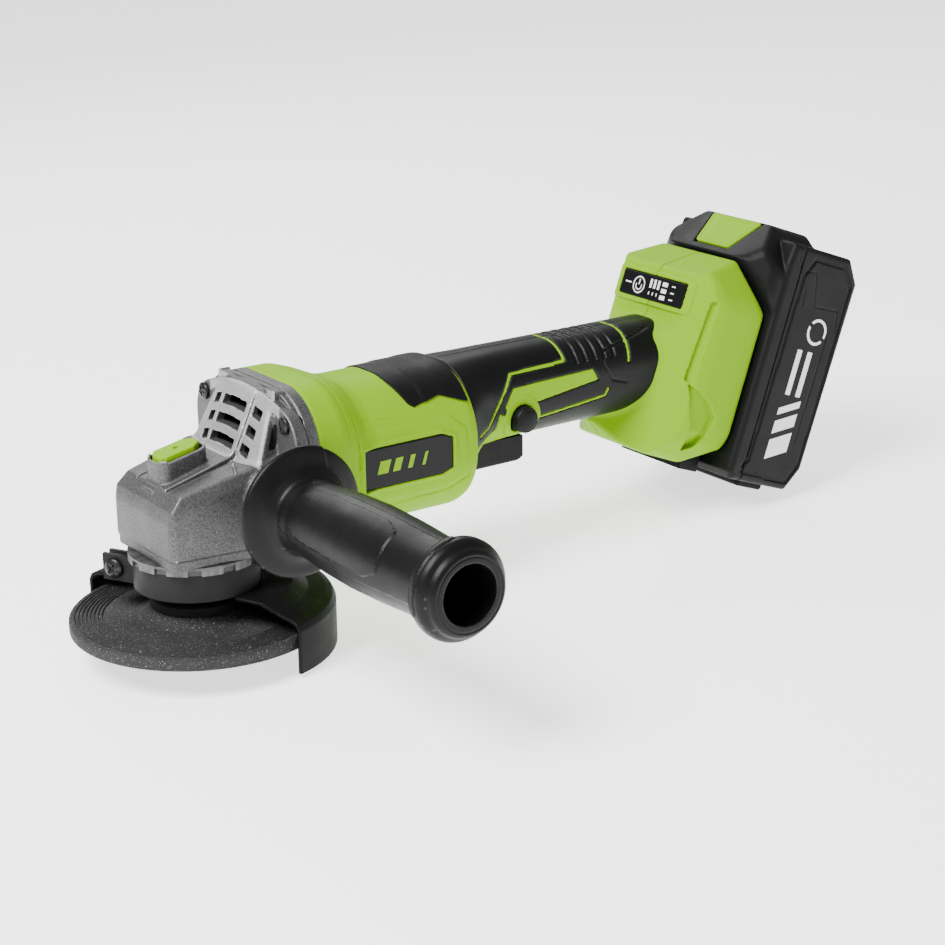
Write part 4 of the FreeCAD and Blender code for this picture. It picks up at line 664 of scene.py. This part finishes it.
def accents(x, z):
    """Where the lime shell shows through the black cover: negative inside."""
    width = 0.62
    out = trail(x, z, [(117.9, 58.3), (124.5, 59.9), (131.4, 70.4), (138.0, 79.1), (166.4, 79.8)]) - width
    out = np.minimum(out, np.maximum(np.abs(x - 166.6 - 0.05 * (z - 81)) - width, 79.6 - z))
    out = np.minimum(out, np.maximum(np.abs(x - 199.2 - 0.25 * (z - 74.5)) - width, 74.5 - z))
    out = np.minimum(out, polygon(x, z, [(138.2, 73.8), (179.9, 74.8), (182.4, 69.9), (150, 65.9), (147, 58),
                                         (136, 62), (133.6, 67)]))
    out = np.minimum(out, from_button(x, z) - 9.2)
    out = np.minimum(out, trail(x, z, [(151.1, 58.8), (186.1, 62.3), (187.7, 65)]) - width)
    out = np.minimum(out, polygon(x, z, [(111, 20), (111, 54.0), (118, 54.2), (125.2, 55.6), (129.4, 58.2),
                                         (130.6, 64.5), (136, 62), (146, 53.4), (152.6, 53.0), (157, 50.4),
                                         (152.6, 46), (152.6, 20)]))
    return out


def foot_block(x, y, z):
    """The battery foot, and the pitched coordinates that it was worked out in."""
    c, s = math.cos(PITCH), math.sin(PITCH)
    u = (x - DOCK[0]) * c - (z - DOCK[2]) * s
    w = (x - DOCK[0]) * s + (z - DOCK[2]) * c
    ay = np.abs(y)
    side = rounded(u, w, [(-17, 48.2), (-36.5, 37.5), (-37.5, 14), (-46, 4), (-51.5, -16), (-54.5, -27),
                          (-52.5, -34.5), (-44, -40), (-34, -41.8), (-14, -42.6), (0, -33), (0, 29)], 2.5)
    plan_a = 0.60 * (ay - 33.0) - 0.80 * (u + 29.5)
    plan_b = 0.86 * (ay - 25.6) - 0.51 * (u + 39.4)
    front_top = 0.905 * (ay - 33) + 0.425 * (w - 29)
    front_bottom = 0.807 * (ay - 33) - 0.59 * (w + 28)
    body = smax(side, ay - 33.0, 3.2)
    body = smax(body, front_top, 2.0)
    body = smax(body, front_bottom, 3.5)
    body = smax(body, plan_a, 1.4)
    body = smax(body, plan_b, 3.0)
    scoop = np.hypot(u + 57.0, ay - 41.0) - 20.5
    body = smax(body, -(scoop + 2.0 * step((w + 6) / 26)), 3.5)
    return body, u, w, ay


def shell_body(x, y, z):
    """Both lime handle shells: grip, foot, and the rooms and posts inside them."""
    skin = handle_skin(x, y, z)
    foot, u, w, ay = foot_block(x, y, z)
    grip = np.maximum(skin + 1.4, x - 226)
    shown = accents(x, z)
    grip = np.minimum(grip, np.maximum(skin + 0.02, shown))
    ring = from_button(x, z)
    collar = np.maximum(np.abs(ring - 7.7) - 1.5, np.abs(ay - 17.6) - 2.6)
    grip = smin(grip, np.maximum(collar, skin - 1.1), 0.7)
    grip = np.maximum(np.maximum(grip, 112.7 - x), x - 228)
    body = smin(grip, foot, 4.0)
    slot = trail(u, w, [(-29.0, 27.3), (-30.6, -5.6)])
    body = np.maximum(body, np.minimum(np.minimum(1.35 - slot, body + 2.1), ay - 12))
    hollow = polygon(u, w, [(-30.4, -7.6), (-18.2, -13.6), (-11.8, -19.7), (-16.6, -33.6), (-21.2, -36.6),
                            (-27.0, -18)])
    body = np.maximum(body, np.minimum(np.minimum(-hollow * 0.75, 3.0), np.minimum(body + 3.0, ay - 12)))
    for cu, cw in ((-8.5, 17.5), (-12.5, 5), (-16.5, -9.0)):
        dash = trail(u, w, [(cu, cw), (cu + 2.6, cw - 4.4)])
        body = np.maximum(body, np.minimum(np.minimum(0.32 - dash, body + 0.35), ay - 20))
    bezel = np.maximum(rect(ay, w - 27.2, 24.6, 7.6, 2.2), u + 30)
    body = np.minimum(body, np.maximum(bezel, np.maximum(-38.6 - u + 0.02 * (w - 27), foot - 1.1)))
    body = groove(body, np.maximum(np.abs(w - 38.2), u + 30.0), 0.4, 0.15)
    tools = [np.maximum(skin + 4.2, x - 219),
             block(u, y, w, (-32.0, -25.4, -29), (-12.4, 25.4, 34), 2.0),
             block(u, y, w, (-9.9, -22.1, -31.2), (-6.1, 22.1, 62), 0.1),
             block(u, y, w, (-7.1, -19.4, -31.2), (4, 19.4, 62), 0.1),
             block(u, y, w, (-41, -20.8, 21.7), (-36.0, 20.8, 32.7), 0.3),
             block(u, y, w, (-36.2, -20.4, 21.9), (-32.0, 20.4, 32.4), 0.1),
             block(x, y, z, (113.0, -10.2, 10), (150.7, 10.2, 53.9), 0.1),
             np.maximum(ring - 5.85, y + 8.5)]
    body = less(body, *tools)
    spigot = less(rod(y, z, x, MOTOR_AXIS, 26.5, 107.1, 114, 0.2),
                  rod(y, z, x, MOTOR_AXIS, 23.5, 100, 116, 0.1))
    body = np.minimum(body, spigot)
    for sx, sz in SHELL_SCREWS:
        away = np.hypot(x - sx, z - sz)
        body = np.minimum(body, np.maximum(np.maximum(away - 3.8, ay - 16.5), skin + 2.0))
        body = less(body, np.maximum(away - 1.55, -0.8 - y), np.maximum(away - 3.3, 13.2 - y))
    return less(body, np.maximum(ring - 6.7, np.abs(y + 5.8) - 4.0))


def grip_cover(x, y, z):
    """The thin black cover, open where the lime shell shows."""
    skin = handle_skin(x, y, z)
    body = smax(skin, -(skin + 1.38), 0.15)
    body = np.maximum(np.maximum(body, 112.75 - x), x - 226)
    body = smax(body, -(accents(x, z) - 0.14), 0.25)
    for number in range(5):
        rib_x = 172.0 + number * 5.0
        rib = np.maximum(np.abs(x - rib_x - 0.06 * (z - 80)) - 1.25, 77.6 - z)
        body = np.maximum(body, np.minimum(-rib * 1.2, skin + 0.75))
    pad = trail(x, z, [(216, 85.2), (187.2, 80.5), (185.7, 75.8), (189.8, 68.6), (197, 66.4)])
    body = np.maximum(body, np.minimum(np.minimum(0.4 - pad, skin + 0.55), 86 - z))
    tools = [block(x, y, z, (113.0, -10.2, 10), (150.7, 10.2, 53.9), 0.1)]
    for sx, sz in SHELL_SCREWS:
        tools.append(np.maximum(np.hypot(x - sx, z - sz) - 3.3, 5 - y))
    return less(body, *tools)


for side, low, high in (("left", 0.0, 34.0), ("right", -34.0, 0.0)):
    finish_piece(carve("handle_shell_body_" + side, (106.5, low, 18), (265.0, high, 112), 0.55, shell_body),
                 LIME, "housing", ["handle_shell_" + side])
    finish_piece(carve("grip_cover_skin_" + side, (112.2, low, 31), (227, high, 88), 0.45, grip_cover),
                 RUBBER, "housing", ["grip_cover_" + side])


# ------------------------------------------------------------------ side button
def side_button(x, y, z):
    ring = from_button(x, z)
    dome = np.hypot(ring, y + 12.6) - 12.0
    body = smax(smax(ring - 5.5, dome, 1.0), y + 8.0, 0.2)
    rim = np.maximum(ring - 6.25, np.abs(y + 8.75) - 0.7)
    body = groove(body, np.abs(ring - 4.3), 0.6, 0.25)
    return np.minimum(body, rim)


finish_piece(carve("lock_off_cap", (135.4, -25.2, 53.4), (149.6, -7.4, 67.4), 0.25, side_button),
             BLACK, "lock_off", ["lock_off_button"])


# ------------------------------------------------------------------ battery, in its own pitched frame
SIDE = [(0.4, -40.2), (3.0, -43.2), (37.1, -43.2), (43.4, -32.6), (44.7, 52.2), (37.0, 62), (1.6, 62),
        (0.4, 53)]
INNER = [(2.4, -41.0), (35.9, -41.0), (41.3, -31.8), (42.3, 51.2), (35.9, 59.8), (2.4, 59.8)]
FACE_TURN = math.atan2(14.8, 11.8)


def on_face(u, w):
    """Along and out of the release button's face."""
    du, dw = u + 11.8, w - 52.0
    c, s = math.cos(FACE_TURN), math.sin(FACE_TURN)
    return du * c + dw * s, -du * s + dw * c


def battery_case(u, y, w):
    """Both halves of the battery's case, with its tongue, contact slots and the button's well."""
    ay = np.abs(y)
    outline = rounded(u, w, SIDE, 1.2)
    body = smax(outline, ay - 37.5, 2.6)
    crown = rounded(u, w, [(-15.8, 49.6), (-12.2, 52), (0, 66.8), (22, 66.8), (27, 61.0), (2, 59),
                           (1.4, 30.5), (0.6, 30.5)], 1.0)
    crown = smax(crown, ay - 36.4, 2.4)
    crown = smax(crown, 0.80 * (ay - 22.5) + 0.60 * (w - 66.8), 2.5)
    crown = smax(crown, 0.61 * (ay - 22.0) - 0.79 * (u + 15.6), 2.5)
    body = smin(body, crown, 1.0)
    # a sunk outline and moulded lines on each cheek
    cheek = rounded(u, w, [(5.2, -38.5), (9.4, -32.8), (10.8, 49.6), (15.5, 57.5), (33.5, 57.5),
                           (40.6, 50.0), (40.0, -31.0), (35.2, -39.6)], 1.0)
    body = np.maximum(body, np.minimum(np.minimum(0.9 - np.abs(cheek), body + 0.55), ay - 30))
    lines = [[(9.4, 49.6), (4.8, 57.2)],
             [(11.5, 51.6), (17.6, 52.4), (21.6, 38), (36.8, 38.8), (38.3, 30.2), (40.2, 29.6)],
             [(31.4, -27.3), (40.2, -32.4)], [(13.6, 44.0), (14.6, 36.5)], [(34.5, 28), (34.0, -22)]]
    for line in lines:
        body = groove(body, np.maximum(trail(u, w, line), 30 - ay), 0.7, 0.4)
    body = groove(body, np.abs(u - 8.0), 0.5, 0.4)
    foot = smax(rect(u - 32, w + 41.5, 8.0, 5.8, 1.5), ay - 20.5, 1.4)
    body = smin(body, foot, 0.8)
    ribs = np.maximum(np.abs(((w + 2) % 9.0) - 4.5) - 0.6, np.abs(w - 8) - 38)
    body = np.maximum(body, np.minimum(np.minimum(-ribs, body + 0.5), np.minimum(u - 40, 26 - ay)))
    core = block(u, y, w, (-9.5, -19.0, -25.5), (1, 19.0, 29), 0.4)
    rails = block(u, y, w, (-9.5, -21.6, -22), (-6.6, 21.6, 29), 0.3)
    neck = block(u, y, w, (-1, -19.0, -25.5), (3, 19.0, 40), 0.2)
    body = np.minimum(np.minimum(body, core), np.minimum(rails, neck))
    room = smax(rounded(u, w, INNER, 1.0), ay - 35.2, 1.0)
    along, out = on_face(u, w)
    half = 10.5 + (along - 0.4) * 0.2833
    well = np.maximum(np.maximum(-along - 0.2, along - 18.8), np.maximum(ay - half - 0.55, -9.2 - out))
    tools = [room, well]
    for cy in (-10.5, -3.5, 3.5, 10.5):
        tools.append(block(u, y, w, (-12, cy - 1.6, -27), (-1.6, cy + 1.6, -9), 0.1))
    return less(body, *tools)


for part, low, high in (("front", -17.5, 8.0), ("rear", 8.0, 46.0)):
    start, end = (low, -38.5, -48.5), (high, 38.5, 68.0)
    finish_piece(carve(f"battery_{part}_shell", start, end, 0.5, battery_case, True),
                 BLACK, "battery", [f"battery_{part}_case"])


def side_print(u, y, w):
    """Plain white marks on the battery's cheek: a ring and bars of falling width."""
    marks = np.abs(np.hypot(u - 28.0, w - 27.5) - 5.2) - 0.75
    marks = np.maximum(marks, 0.8 - np.abs((u - 28.0) * 0.5 + (w - 27.5) * 0.86))
    for low, high in ((-29.0, -20.0), (-17.5, -11.5), (-9.0, -5.6)):
        lean = (w - (low + high) / 2) - 0.42 * (u - 24.5)
        marks = np.minimum(marks, np.maximum(np.abs(lean) - (high - low) / 2, np.abs(u - 24.5) - 6.2))
    for centre in (21.2, 27.6):
        marks = np.minimum(marks, rect(u - centre, w - 8.25, 1.55, 10.25, 0.3))
    return np.maximum(marks, np.abs(np.abs(y) - 37.47) - 0.05)


for side, low, high in (("right", -37.7, -37.2), ("left", 37.2, 37.7)):
    start, end = (16.0, low, -36.0), (36.0, high, 35.0)
    finish_piece(carve("battery_marks_" + side, start, end, 0.12, side_print, True),
                 PRINT, "battery")


def release_cap(along, y, out):
    """The tapered release button with its bar and rows of dots."""
    half = 10.5 + (along - 0.4) * 0.2833
    ay = np.abs(y)
    plan = smax(np.abs(along - 9.4) - 9.0, (ay - half) * 0.962, 1.6)
    body = smax(plan, np.abs(out + 1.3) - 1.9, 0.5)
    bar = smax(np.abs(along - 15.6) - 0.5, ay - 9.2, 0.3)
    body = np.minimum(body, smax(bar, np.abs(out - 0.5) - 0.28, 0.15))
    for row in range(4):
        for column in range(-3, 4):
            ry, ra = column * 2.5 + (1.25 if row % 2 else 0.0), 12.8 - row * 2.5
            if abs(ry) > 8.2 - row * 1.4:
                continue
            dot = np.hypot(along - ra, y - ry) - 0.62
            body = np.minimum(body, smax(dot, np.abs(out - 0.5) - 0.28, 0.2))
    return groove(body, np.maximum(np.abs(plan + 1.6), -0.4 - out), 0.45, 0.2)


cap = carve("release_cap", (-0.4, -16.8, -3.8), (19.4, 16.8, 1.4), 0.2, release_cap)
lean = Matrix.Rotation(PITCH, 4, "Y") @ Matrix.Translation(Vector((-11.8, 0, 52)) * MM)
cap.data.transform(Matrix.Translation(Vector(DOCK) * MM) @ lean @ Matrix.Rotation(-FACE_TURN, 4, "Y"))
finish_piece(cap, LIME, "release", ["battery_release_button"])


# ------------------------------------------------------------------ display
def window(u, y, w):
    return smax(smax(rect(y, w - 27.1, 20.5, 5.2, 0.9), np.abs(u + 37.1) - 0.9, 0.25), -37.9 - u, 0.1)


def icons(u, y, w):
    """Generic charge and power signs: a ringed arc, bars and blocks."""
    ring = np.abs(np.hypot(y - 9.0, w - 27.0) - 3.5) - 0.32
    stem = np.maximum(np.abs(y - 9.0) - 0.35, np.abs(w - 28.3) - 1.2)
    arc = np.maximum(np.abs(np.hypot(y - 9.0, w - 26.7) - 1.8) - 0.3, w - 27.4)
    marks = np.minimum(np.minimum(ring, stem), arc)
    for cy in (1.6, -0.9, -3.4):
        marks = np.minimum(marks, np.maximum(np.abs(y - cy) - 0.7, np.abs(w - 28.9) - 2.0))
        marks = np.minimum(marks, np.maximum(np.abs(y - cy) - 0.35, np.abs(w - 24.6) - 0.7))
    for cw in (29.9, 27.0, 24.1):
        marks = np.minimum(marks, np.maximum(np.abs(y + 7.3) - 1.7, np.abs(w - cw) - 0.95))
        marks = np.minimum(marks, np.maximum(np.abs(y + 12.8) - 1.2, np.abs(w - cw) - 0.3))
    marks = np.minimum(marks, np.maximum(np.abs(y - 16.0) - 1.9, np.abs(w - 27.2) - 0.35))
    return np.maximum(marks, np.abs(u + 38.03) - 0.05)


finish_piece(carve("display_glass", (-38.6, -21.2, 21.2), (-35.8, 21.2, 33.0), 0.2, window, True),
             GLOSS, "housing", ["display_window"])
finish_piece(carve("display_signs", (-38.3, -19, 22.2), (-37.75, 19, 32.0), 0.1, icons, True),
             PRINT, "housing", ["display_window"])


# ------------------------------------------------------------------ side handle
# y and radius along the grip, from the gear case outwards
PROFILE = [(-33.4, 13.0), (-38.4, 13.0), (-45, 14.6), (-48.6, 23.4), (-49.8, 25.3), (-51.6, 25.3),
           (-52.8, 24.0), (-54.4, 18.6), (-57.4, 15.2), (-63, 14.2), (-82, 15.7), (-98, 16.2), (-116, 15.8),
           (-132, 14.9), (-143.0, 14.5), (-144.6, 15.4), (-146.2, 17.4), (-148.2, 18.3), (-151.4, 18.3),
           (-153.4, 17.2), (-154.2, 15.8), (-155.8, 15.5), (-156.9, 14.2)]
# the +across halves of the two panels, as distance round the grip and y
OUTER_PANEL = [(9.5, -59.5), (13.6, -66), (14.6, -150)]
INNER_PANEL = [(6.6, -65.0), (10.2, -71), (10.8, -116), (8.0, -124.0)]


def side_grip(x, y, z):
    """A turned grip with two nested raised panels on each side and a bore in its end."""
    px, pz = x - SIDE_BOSS[0], z - SIDE_BOSS[1]
    ring = np.hypot(px, pz)
    turn = np.degrees(np.arctan2(pz, px))
    heights = [p[0] for p in PROFILE[::-1]]
    radii = [p[1] for p in PROFILE[::-1]]
    radius = sum(np.interp(y + s, heights, radii) for s in np.linspace(-0.7, 0.7, 7)) / 7
    slope = np.gradient(radius, axis=1) / max(1e-6, float(y[0, 1, 0] - y[0, 0, 0]))
    body = (ring - radius.astype(np.float32)) / np.sqrt(1 + slope.astype(np.float32) ** 2)
    for centre in (146.0, -34.0):
        away = (turn - centre + 180) % 360 - 180
        across = away * 0.27
        near = np.abs(away) < 60
        for half in (OUTER_PANEL, INNER_PANEL):
            outline = half + [(-a, b) for a, b in reversed(half)]
            body = np.where(near, raised(body, rounded(across, y, outline, 2.0), 0.45), body)
    body = smax(body, -156.9 - y, 0.8)
    body = groove(body, np.maximum(np.abs(ring - 13.3), y + 155.6), 0.6, 0.4)
    facet = np.maximum(np.maximum(9.8 - px, 2 - pz), np.maximum(17.5 - ring, -57 - y))
    body = np.maximum(body, np.minimum(-facet, body + 0.5))
    body = np.where(y > -38.4, np.maximum(ring - 6.2, y + 33.45), body)
    bore = rod(px, pz, y, (0, 0), 10.9, -160, -112, 0.3)
    return less(body, bore, rod(px, pz, y, (0, 0), 3.95, -113.5, -30, 0.1))


finish_piece(carve("side_grip_skin", (-9.5, -157.6, 28.5), (44.1, -32.8, 82.5), 0.4, side_grip),
             RUBBER, "side_handle", ["side_grip"])


# ------------------------------------------------------------------ guard and wheel
def sheet(name, top, thickness, start_of, end, around):
    """Turned sheet metal whose near edge follows its own curve: start_of gives (radius, angle)."""
    top = np.array(softened_profile(dense(top, 1.0), 0.8))
    run = np.gradient(top, axis=0)
    run /= np.linalg.norm(run, axis=1)[:, None]
    normal = np.stack([-run[:, 1], run[:, 0]], 1)
    under = top - normal * thickness
    n = len(top)
    loop = np.concatenate([top, under[::-1]])
    points = []
    for r, z in loop:
        begin = np.interp(max(r, 0), [p[0] for p in start_of], [p[1] for p in start_of])
        turns = np.radians(np.linspace(begin, end, around))
        points.append(np.stack([r * np.cos(turns), r * np.sin(turns), np.full(around, z)], 1))
    points = np.stack(points)
    m = len(loop)
    faces = []
    for i in range(m):
        j = (i + 1) % m
        a = i * around + np.arange(around - 1)
        b = j * around + np.arange(around - 1)
        faces.append(np.stack([a, a + 1, b + 1, b], 1))
    for column in (0, around - 1):
        for i in range(n - 1):
            quad = [i, i + 1, m - 2 - i, m - 1 - i]
            quad = [q * around + column for q in quad]
            faces.append(np.array([quad if column == 0 else quad[::-1]]))
    return mesh_from(name, points.reshape(-1, 3), np.concatenate(faces))


# the guard's outer side as (radius, height), and its near edge as (radius, angle)
GUARD_TOP = [(24.5, 17.25), (36.6, 17.2), (42.6, 13.2), (49.2, 12.3), (51.9, 11.2), (53.2, 8.6),
             (53.2, -8.35)]
GUARD_EDGE = [(23.9, -84.7), (30.9, -80.9), (33.7, -79.6), (36.6, -78.7), (41.5, -74.3), (53.3, -74.3)]
finish_piece(sheet("guard_skin", GUARD_TOP, 1.4, GUARD_EDGE, 115.0, 180),
             BLACKENED, "guard", ["guard"])

WHEEL = [(8.1, 9.0), (17.6, 9.05), (19.0, 8.5), (21.6, 6.3), (24.2, 5.5), (35.6, 5.45)]
for number in range(8):
    edge = 36.2 + number * 1.5
    WHEEL += [(edge, 5.45), (edge + 0.25, 4.8), (edge + 0.7, 4.8), (edge + 0.95, 5.45)]
WHEEL += [(49.1, 5.4), (49.85, 4.7), (49.85, 0.7), (49.2, 0.1), (21.8, 0.1), (17.6, 4.65), (8.1, 4.65),
          (8.1, 9.0)]


def grit(heights, turns):
    """Unevenness of the radius, everywhere but on the ground face."""
    rng = np.random.default_rng(7)
    return rng.normal(0, 0.05, (heights.shape[0], turns.shape[1])) * (heights > 0.2)


finish_piece(lathe("wheel_disc", dense(softened_profile(WHEEL, 0.3), 0.9), 420, grit),
             GRIT, "spindle", ["grinding_wheel"])


# ------------------------------------------------------------------ CAD pieces that keep their own shape
CAD_LOOKS = {
    STEEL: ["spindle_bearing_outer", "motor_bearing_outer_races", "trigger_pin", "spindle_lock_spring",
            "trigger_spring", "lock_off_spring", "guard_clamp_nut", "spindle", "driven_gear", "gear_spacer",
            "spindle_bearing_inner", "spindle_bearing_balls", "motor_shaft", "pinion", "side_stud",
            "motor_bearing_inner_races", "motor_bearing_balls", "spindle_lock_pin", "release_spring"],
    DARK_STEEL: ["bearing_circlip", "shell_screws", "rotor_magnets"],
    BLACKENED: ["guard_clamp_band", "inner_flange", "outer_flange_nut"],
    # the bearing retainer takes the darker cast aluminium: painted shade
    SHADED_CAST: ["bearing_retainer"],
    BRONZE: ["spindle_bush"],
    IRON: ["stator_core", "rotor_core"],
    COPPER: ["stator_windings"],
    BRASS: ["terminal_blades", "battery_contacts"],
    BOARD: ["motor_controller", "display_board", "battery_board"],
    SLEEVE: ["battery_cells"],
    BLACK: ["switch_module", "terminal_block", "dock_foot", "cooling_fan", "trigger"],
}
for look, node_names in CAD_LOOKS.items():
    for node_name in node_names:
        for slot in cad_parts[node_name].material_slots:
            slot.material = look

# ------------------------------------------------------------------ floor, light and camera
# the tool stands on the rear edge of the guard and on the lowest corner of the battery
guard_low, guard_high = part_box("guard")
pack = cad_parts["battery_rear_case"]
corners = np.empty(len(pack.data.vertices) * 3, dtype=np.float32)
pack.data.vertices.foreach_get("co", corners)
corners = corners.reshape(-1, 3)
rest_x, rest_z = guard_high[0], guard_low[2]
slope = float(((corners[:, 2] - rest_z) / (corners[:, 0] - rest_x)).min())
tilt = math.atan(slope)
bpy.ops.mesh.primitive_plane_add(size=14)
floor = bpy.context.object
floor.name = "floor"
floor.data.transform(Matrix.Translation((rest_x, 0, rest_z)) @ Matrix.Rotation(-tilt, 4, "Y"))
FLOOR = material("pale floor", (0.93, 0.93, 0.93), 0.6, grain=(40.0, 0.004),
                 bump=[(60.0, 0.004, 1.0)], spec=0.1)
glow = FLOOR.node_tree.nodes["Principled BSDF"]
glow.inputs["Emission Color"].default_value = (1.0, 1.0, 1.0, 1.0)
glow.inputs["Emission Strength"].default_value = 1.6
floor.data.materials.append(FLOOR)

world = bpy.data.worlds.new("soft room")
bpy.context.scene.world = world
world.use_nodes = True
sky = world.node_tree.nodes["Background"]
sky.inputs["Color"].default_value = (1.0, 1.0, 1.0, 1.0)
sky.inputs["Strength"].default_value = 0.4


def lamp(name, where, target, size_of, watts):
    """An area lamp aimed at a point, in metres."""
    data = bpy.data.lights.new(name, "AREA")
    data.shape = "RECTANGLE"
    data.size, data.size_y = size_of
    data.energy = watts
    obj = bpy.data.objects.new(name, data)
    obj.location = where
    aim = Vector(target) - Vector(where)
    obj.rotation_euler = aim.to_track_quat("-Z", "Y").to_euler()
    bpy.context.scene.collection.objects.link(obj)


lamp("key", (-0.70, -0.15, 1.05), (0.12, 0, 0.05), (0.6, 0.6), 36.0)
lamp("fill", (0.5, -1.3, 0.55), (0.15, 0, 0.05), (1.0, 0.6), 1.5)
lamp("rim", (0.35, 0.9, 0.8), (0.1, 0, 0.05), (0.9, 0.4), 8.0)

camera = bpy.data.objects.new("camera", bpy.data.cameras.new("camera"))
bpy.context.scene.collection.objects.link(camera)
back = Vector((-0.55307, -0.77213, 0.31294)).normalized()
right = Vector((0.81060, -0.58548, -0.01198))
right = (right - back * right.dot(back)).normalized()
up = back.cross(right)
camera.matrix_world = Matrix((
    (right.x, up.x, back.x, -0.38390), (right.y, up.y, back.y, -0.71893),
    (right.z, up.z, back.z, 0.32581), (0, 0, 0, 1)))
camera.data.sensor_width = 36
camera.data.lens = 85.37
camera.data.clip_end = 30
bpy.context.scene.camera = camera
